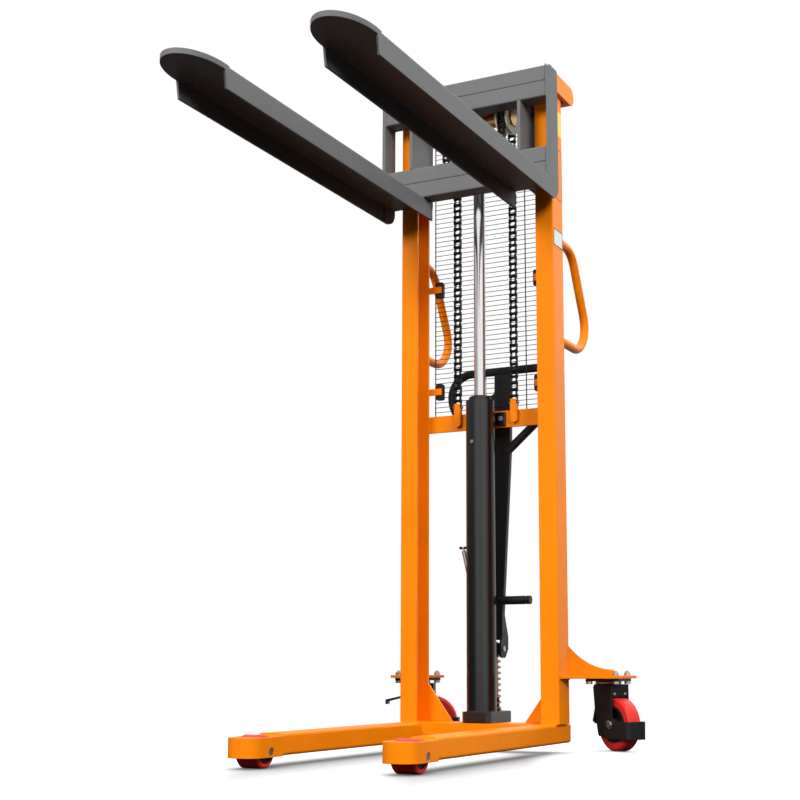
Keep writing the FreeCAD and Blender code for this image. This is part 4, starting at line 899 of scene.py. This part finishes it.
class STACKER_OT_welds(bpy.types.Operator):
    """Lay weld beads along the joints of the chassis and the carriage"""
    bl_idname = "stacker.welds"
    bl_label = "Welds"

    def execute(self, context):
        sunk = context.scene.stacker_sizes.weld_radius * WELD_SUNK_SHARE
        inner, outer = POST[0].x, POST[1].x
        foot = POST[0].z
        nose_y, nose_z = NOSE[1].y, NOSE[1].z
        leg_low = LEG[0].z + LEG_EDGE
        bar_y = CROSSBAR[1].y - CROSSBAR_LIP
        lines = [
            [(inner, POST[0].y, foot), (LEG[1].x, POST[0].y, foot)],
            [(inner, POST[0].y, foot), (inner, POST[1].y, foot)],
            [(BASE[1].x, BASE[0].y, BASE[1].z), (BASE[1].x, BASE[0].y, BASE[0].z)],
            [(LEG[0].x, nose_y, nose_z), (LEG[1].x, nose_y, nose_z)],
            [(LEG[1].x, nose_y, nose_z), (LEG[1].x, nose_y, leg_low)],
            [(LEG[0].x, nose_y, nose_z), (LEG[0].x, nose_y, leg_low)],
            [(inner, bar_y, CROSSBAR[0].z), (inner, bar_y, CROSSBAR[0].z + CROSSBAR_SEAM)],
            [(outer, BRACKET[0].y, BRACKET[1].z), (outer, POST[1].y, BRACKET[1].z)],
            [(outer, BRACKET[0].y, BRACKET[0].z), (outer, POST[1].y, BRACKET[0].z)],
        ]
        handle_x = (HANDLE[0].x + HANDLE[1].x) / 2
        radius = (HANDLE[1].x - HANDLE[0].x) / 2
        for z in HANDLE_ENDS:
            lines.append([(handle_x + radius * c, HANDLE[0].y, z + radius * s)
                          for c, s in turns_round(HANDLE_RING_STEPS)])
        lay_beads("frame_welds", both_sides(lines), "orange_paint", "frame")
        middle = (GLAND[0] + GLAND[1]) / 2
        reach = TANK[1].x - sunk
        circle = [(middle.x + reach * c, middle.y + reach * s, TANK[0].z)
                  for c, s in turns_round(TANK_RING_STEPS)]
        lay_beads("tank_weld", [circle], "black_paint", "frame")
        front, rear = TOP_BEAM[0].y, TOP_BEAM[1].y
        side_x = TOP_BEAM[1].x - sunk
        lines = [
            [(side_x, front, TOP_BEAM[0].z), (side_x, front, TOP_BEAM[1].z)],
            [(side_x, front, LOW_BEAM[0].z), (side_x, front, LOW_BEAM[1].z)],
            [(side_x, front, TOP_BEAM[0].z), (side_x, rear, TOP_BEAM[0].z)],
            [(side_x, front, LOW_BEAM[1].z), (side_x, rear, LOW_BEAM[1].z)],
            [(FORK[0].x + FORK_EDGE, front, FORK[1].z), (side_x, front, FORK[1].z)],
        ]
        lay_beads("carriage_welds", both_sides(lines), "carriage_paint", "carriage")
        lines = []
        under = FORK[1].z - FORK_WALL
        for number in range(STITCHES):
            y = FIRST_STITCH_Y + STITCH_PITCH * number
            for x in (FORK[0].x + STITCH_INSET, FORK[1].x - STITCH_INSET):
                lines.append([(x, y - STITCH_HALF, under), (x, y + STITCH_HALF, under)])
        lay_beads("fork_stitches", both_sides(lines), "weld", "carriage")
        return {"FINISHED"}


# Labels
def label_outline(low, high, corner, inset):
    """Rounded outline on the outer face of the right post, drawn in by an inset."""
    radius = corner - min(inset, corner * CORNER_SHARE)
    room = radius + inset
    front, back = MAST_Y + LABEL_FRONT + room, MAST_Y + LABEL_BACK - room
    points = []
    for start, (y, z) in enumerate(((back, high - room), (front, high - room), (front, low + room),
                                    (back, low + room))):
        for k in range(CORNER_STEPS + 1):
            turn = math.pi / 2 * (start + k / CORNER_STEPS)
            points.append((POST[1].x, y + radius * math.cos(turn), z + radius * math.sin(turn)))
    return points


def label_mesh(name, low, high, corner, wall, border):
    """Thin rounded plate, or a bare border where a width is given."""
    bm = bmesh.new()
    sweep = Vector((wall, 0.0, 0.0))
    outline = label_outline(low, high, corner, 0.0)
    if not border:
        add_prism(bm, outline, sweep)
        return finished(bm, name)
    rings = []
    for points in (outline, label_outline(low, high, corner, border)):
        rings.append([bm.verts.new(Vector(point)) for point in points])
        rings.append([bm.verts.new(Vector(point) + sweep) for point in points])
    for first, second in ((0, 1), (1, 3), (3, 2), (2, 0)):
        add_band(bm, rings[first], rings[second])
    return finished(bm, name)


class STACKER_OT_labels(bpy.types.Operator):
    """Stick the bare label and stickers on the right post"""
    bl_idname = "stacker.labels"
    bl_label = "Bare labels"

    def execute(self, context):
        wall = context.scene.stacker_sizes.label_wall
        for name, finish, low, high, corner, share, border in LABELS:
            piece(name, label_mesh(name, low, high, corner, wall * share, border), finish, "frame")
        return {"FINISHED"}


class STACKER_OT_casters(bpy.types.Operator):
    """Fit the races, painted pale as a highlight, and the rivets and washers of the swivel casters"""
    bl_idname = "stacker.casters"
    bl_label = "Caster fittings"

    def execute(self, context):
        size = context.scene.stacker_sizes
        wall = size.race_wall
        race = [(wall * c, size.race_radius + wall * s) for c, s in turns_round(RACE_STEPS)]
        race[-1] = race[0]
        bm = bmesh.new()
        for name in SIDES:
            seat = Vector(JOINTS[f"{name}_caster_swivel"]["pos_m"])
            seat.z = size.race_height
            add_turned(bm, race, seat, (0, 0, 1), sides=48)
        piece("caster_races", finished(bm, "caster_races"), "race", "frame", WIRE_ANGLE)
        head = size.rivet_radius
        dome = [(-RIVET_SUNK, head), *[(head * height, head * radius) for height, radius in RIVET_DOME]]
        for name in SIDES:
            swivel = Vector(JOINTS[f"{name}_caster_swivel"]["pos_m"])
            axle = Vector(JOINTS[f"{name}_caster_wheel_turn"]["pos_m"])
            across = Vector(JOINTS[f"{name}_caster_wheel_turn"]["axis"]).normalized()
            ahead = Vector((axle.x - swivel.x, axle.y - swivel.y, 0.0)).normalized()
            face = Vector((swivel.x, swivel.y, 0.0)) + ahead * size.lip_reach
            start = face - across * (size.rivet_spread / 2) + Vector((0.0, 0.0, size.rivet_height))
            bm = bmesh.new()
            add_turned(bm, dome, start, ahead, sides=14)
            meshes = [grown(finished(bm, "rivet"), "line", "zinc_steel",
                            {"Count": 2, "Step": tuple(across * size.rivet_spread)})]
            bm = bmesh.new()
            for side in SIDES.values():
                washer = axle + across * (side * size.washer_place)
                add_turned(bm, WASHER_OUTLINE, washer, across * side, sides=32)
            meshes.append(finished(bm, "washers"))
            piece(f"{name}_caster_fittings", joined(meshes, f"{name}_caster_fittings"), "zinc_steel",
                  f"{name}_caster", TRIM_ANGLE)
        return {"FINISHED"}


class STACKER_OT_fittings(bpy.types.Operator):
    """Fit the grip of the release lever and the pins of the chain lugs"""
    bl_idname = "stacker.fittings"
    bl_label = "Grip and pins"

    def execute(self, context):
        radius = context.scene.stacker_sizes.grip_radius
        tip = Vector((RELEASE[0].x + TIP_INSET, (RELEASE[0].y + RELEASE[1].y) / 2, RELEASE[1].z - TIP_DROP))
        radii = (radius, radius, radius * GRIP_END_SHARE)
        grip = [GRIP_START, *zip(GRIP_HEIGHTS, radii)]
        bm = bmesh.new()
        for side in SIDES.values():
            add_turned(bm, grip, tip, (side, 0, 0), sides=20)
        piece("release_grip", finished(bm, "release_grip"), "black_plastic", "release",
              TRIM_ANGLE)
        bm = bmesh.new()
        for side in SIDES.values():
            for face in SIDES.values():
                start = Vector((side * CHAIN_X + face * PIN_STAND, ANCHOR_Y, CROSSBAR[1].z - PIN_DROP))
                add_turned(bm, PIN_OUTLINE, start, (face, 0, 0), sides=20)
        piece("anchor_pins", finished(bm, "anchor_pins"), "zinc_steel", "frame", TRIM_ANGLE)
        return {"FINISHED"}


class STACKER_OT_finishes(bpy.types.Operator):
    """Build the finishes and put them on the nodes of the frame"""
    bl_idname = "stacker.finishes"
    bl_label = "Finishes"

    def execute(self, context):
        make_finishes()
        for entry in frame["record"]["subparts"]:
            obj = frame["nodes"][entry["node"]]
            finish = finishes["satin_black" if entry["node"] in SATIN_NODES else entry["material_slot"]]
            if not obj.material_slots:
                obj.data.materials.append(finish)
            for slot in obj.material_slots:
                slot.material = finish
        return {"FINISHED"}


# Studio
def view_axes(studio):
    """Level directions from the object to the camera and to the camera's right."""
    sine, cosine = math.sin(studio.azimuth), math.cos(studio.azimuth)
    return (sine, -cosine, 0.0), (cosine, sine, 0.0)


def either(tree, first, second):
    return math_node(tree, "MAXIMUM", first, second)


def studio_world(studio):
    """White room; mirror-like faces see the grey flags that stand round the object instead."""
    world = bpy.data.worlds.new("studio")
    world.use_nodes = True
    tree = world.node_tree
    tree.nodes.clear()
    ray = node(tree, "ShaderNodeLightPath").outputs
    seen = either(tree, either(tree, ray["Is Camera Ray"], ray["Is Transmission Ray"]), ray["Is Glossy Ray"])
    way = node(tree, "ShaderNodeTexCoord").outputs["Generated"]
    toward, right = view_axes(studio)
    turn = math_node(tree, "ARCTAN2", dot(tree, way, right), dot(tree, way, toward))
    flags = node(tree, "ShaderNodeValToRGB", None, {"Fac": remapped(tree, turn, -math.pi, math.pi)})
    ramp = flags.color_ramp
    while len(ramp.elements) < len(FLAGS):
        ramp.elements.new(0.5)
    for element, (degrees, light) in zip(ramp.elements, FLAGS):
        element.position = (degrees + 180) / 360
        element.color = (light, light, light, 1.0)
    height = part_of(tree, way, "Z")
    lift = remapped(tree, height, start=0.06, end=0.36, high=0.6)
    light = math_node(tree, "ADD", flags.outputs["Color"], lift, True)
    shown = remapped(tree, ray["Is Glossy Ray"], 0.0, 1.0, low=1.0, high=light)
    above = remapped(tree, height, start=-0.12, end=0.22, low=0.06)
    strength = product(tree, above, studio.room)
    room = node(tree, "ShaderNodeBackground", None, {"Color": WHITE, "Strength": strength})
    backdrop = node(tree, "ShaderNodeBackground", None, {"Color": WHITE, "Strength": shown})
    mixed = node(tree, "ShaderNodeMixShader", None, {0: seen, 1: room.outputs[0], 2: backdrop.outputs[0]})
    node(tree, "ShaderNodeOutputWorld", None, {"Surface": mixed.outputs[0]})
    return world


def painted_leg_shadow(tree, place):
    """Painted shadow: share of light taken from the floor beside the legs on the camera's side, laid by place
    rather than cast.
    """
    shades = []
    for side in SIDES.values():
        off = math_node(tree, "SUBTRACT", part_of(tree, place, "X"), side * (LEG[0].x + LEG[1].x) / 2)
        back = math_node(tree, "ADD", part_of(tree, place, "Y"), product(tree, off, SHADE_SLANT))
        shade = remapped(tree, off, -SHADE_EDGE, 0.0, high=SHADE_DEPTH, smooth=True)
        for value, start, end, low, high in (
                (off, 0.0, SHADE_REACH, 1.0, 0.0),
                (back, NOSE[0].y + SHADE_FRONT[0], NOSE[0].y + SHADE_FRONT[1], 0.0, 1.0),
                (back, LEG[1].y + SHADE_BACK[0], LEG[1].y + SHADE_BACK[1], 1.0, 0.0)):
            shade = product(tree, shade, remapped(tree, value, start, end, low, high, smooth=True))
        shades.append(shade)
    return either(tree, *shades)


def studio_floor(studio):
    """Pale floor that keeps the lamps' shadows near the object, with a painted contact shadow and the legs'
    painted shadow in its glow, and fades into the white room.
    """
    bm = bmesh.new()
    bmesh.ops.create_grid(bm, x_segments=24, y_segments=24, size=FLOOR_HALF)
    mesh = plain_mesh(bm, "floor")
    material, tree, shader = new_material("studio_floor")
    white = tuple(studio.white)
    ray = node(tree, "ShaderNodeLightPath").outputs
    pale = blended(tree, object_noise(tree, scale=3.0), scaled(white, share=0.98), white)
    thrown = either(tree, ray["Is Diffuse Ray"], ray["Is Glossy Ray"])
    bounce = blended(tree, thrown, pale, scaled(white, FLOOR_BOUNCE))
    place = node(tree, "ShaderNodeTexCoord").outputs["Object"]
    # The legs' painted shadow darkens the floor's colour and its glow
    shade = painted_leg_shadow(tree, place)
    seen = either(tree, ray["Is Camera Ray"], ray["Is Transmission Ray"])
    seen = either(tree, seen, product(tree, ray["Is Glossy Ray"], FLOOR_MIRROR))
    # The floor's glow dims where other things stand near: a painted contact shadow
    open_sky = node(tree, "ShaderNodeAmbientOcclusion", {"samples": 16}, {"Distance": 0.14}).outputs["AO"]
    glow = remapped(tree, open_sky, start=0.15, end=0.96, low=0.2, high=0.8)
    glow = product(tree, glow, math_node(tree, "SUBTRACT", 1.0, shade))
    reach = node(tree, "ShaderNodeVectorMath", {"operation": "LENGTH"}, {0: place}).outputs["Value"]
    set_inputs(tree, shader, {
        "Base Color": blended(tree, shade, bounce, (0.0, 0.0, 0.0)),
        "Roughness": 0.8, "Specular IOR Level": 0.0,
        "Emission Color": WHITE, "Emission Strength": product(tree, seen, glow),
        "Alpha": remapped(tree, reach, FADE_START, FADE_END, low=1.0, high=0.0, smooth=True)})
    mesh.materials.append(material)
    return placed("floor", mesh)


class STACKER_OT_stage(bpy.types.Operator):
    """Set the floor, the backdrop, the lamps and the camera"""
    bl_idname = "stacker.stage"
    bl_label = "Stage"

    def execute(self, context):
        studio = context.scene.stacker_studio
        scene = context.scene
        scene.view_settings.view_transform = "Standard"
        scene.world = studio_world(studio)
        floor = studio_floor(studio)
        for name, place, size in LAMPS:
            lamp = bpy.data.lights.new(name, "AREA")
            lamp.shape = "DISK"
            lamp.size = size
            lamp.energy = getattr(studio, name)
            obj = placed(name, lamp)
            obj.location = place
            obj.visible_glossy = False
            obj.rotation_euler = (LAMP_AIM - Vector(place)).to_track_quat("-Z", "Y").to_euler()
        camera = bpy.data.cameras.new("photo_camera")
        camera.lens = studio.lens
        camera.sensor_width = SENSOR_WIDTH
        camera.shift_x, camera.shift_y = studio.shift
        camera.clip_start, camera.clip_end = 0.05, 60.0
        obj = placed("photo_camera", camera)
        toward, right = (Vector(axis) for axis in view_axes(studio))
        ahead = -toward * math.cos(studio.pitch) + Vector((0.0, 0.0, math.sin(studio.pitch)))
        turn = Matrix((right, right.cross(ahead), -ahead)).transposed().to_4x4()
        obj.matrix_world = Matrix.Translation(Vector(studio.camera_place)) @ turn
        scene.camera = obj
        return {"FINISHED"}


class STACKER_PT_panel(bpy.types.Panel):
    """Lists the steps and the values of the stacker"""
    bl_idname = "STACKER_PT_panel"
    bl_label = "Hand Pallet Stacker"
    bl_space_type = "VIEW_3D"
    bl_region_type = "UI"
    bl_category = "Stacker"

    def draw(self, context):
        column = self.layout.column()
        for operator in OPERATORS:
            column.operator(operator.bl_idname)
        for place, group in GROUPS.items():
            box = self.layout.box()
            for name in group.__annotations__:
                box.prop(getattr(context.scene, place), name)


OPERATORS = (STACKER_OT_finishes, STACKER_OT_stage, STACKER_OT_chains, STACKER_OT_guard, STACKER_OT_spring,
             STACKER_OT_welds, STACKER_OT_labels, STACKER_OT_casters, STACKER_OT_fittings)
GROUPS = {"stacker_colours": StackerColours, "stacker_sizes": StackerSizes, "stacker_studio": StackerStudio}
CLASSES = (*GROUPS.values(), *OPERATORS, STACKER_PT_panel)


def register():
    for item in CLASSES:
        bpy.utils.register_class(item)
    for place, group in GROUPS.items():
        setattr(bpy.types.Scene, place, PointerProperty(type=group))


def unregister():
    for place in GROUPS:
        delattr(bpy.types.Scene, place)
    for item in reversed(CLASSES):
        bpy.utils.unregister_class(item)


def main():
    register()
    for operator in OPERATORS:
        group, name = operator.bl_idname.split(".")
        getattr(getattr(bpy.ops, group), name)()


if __name__ == "__main__":
    main()
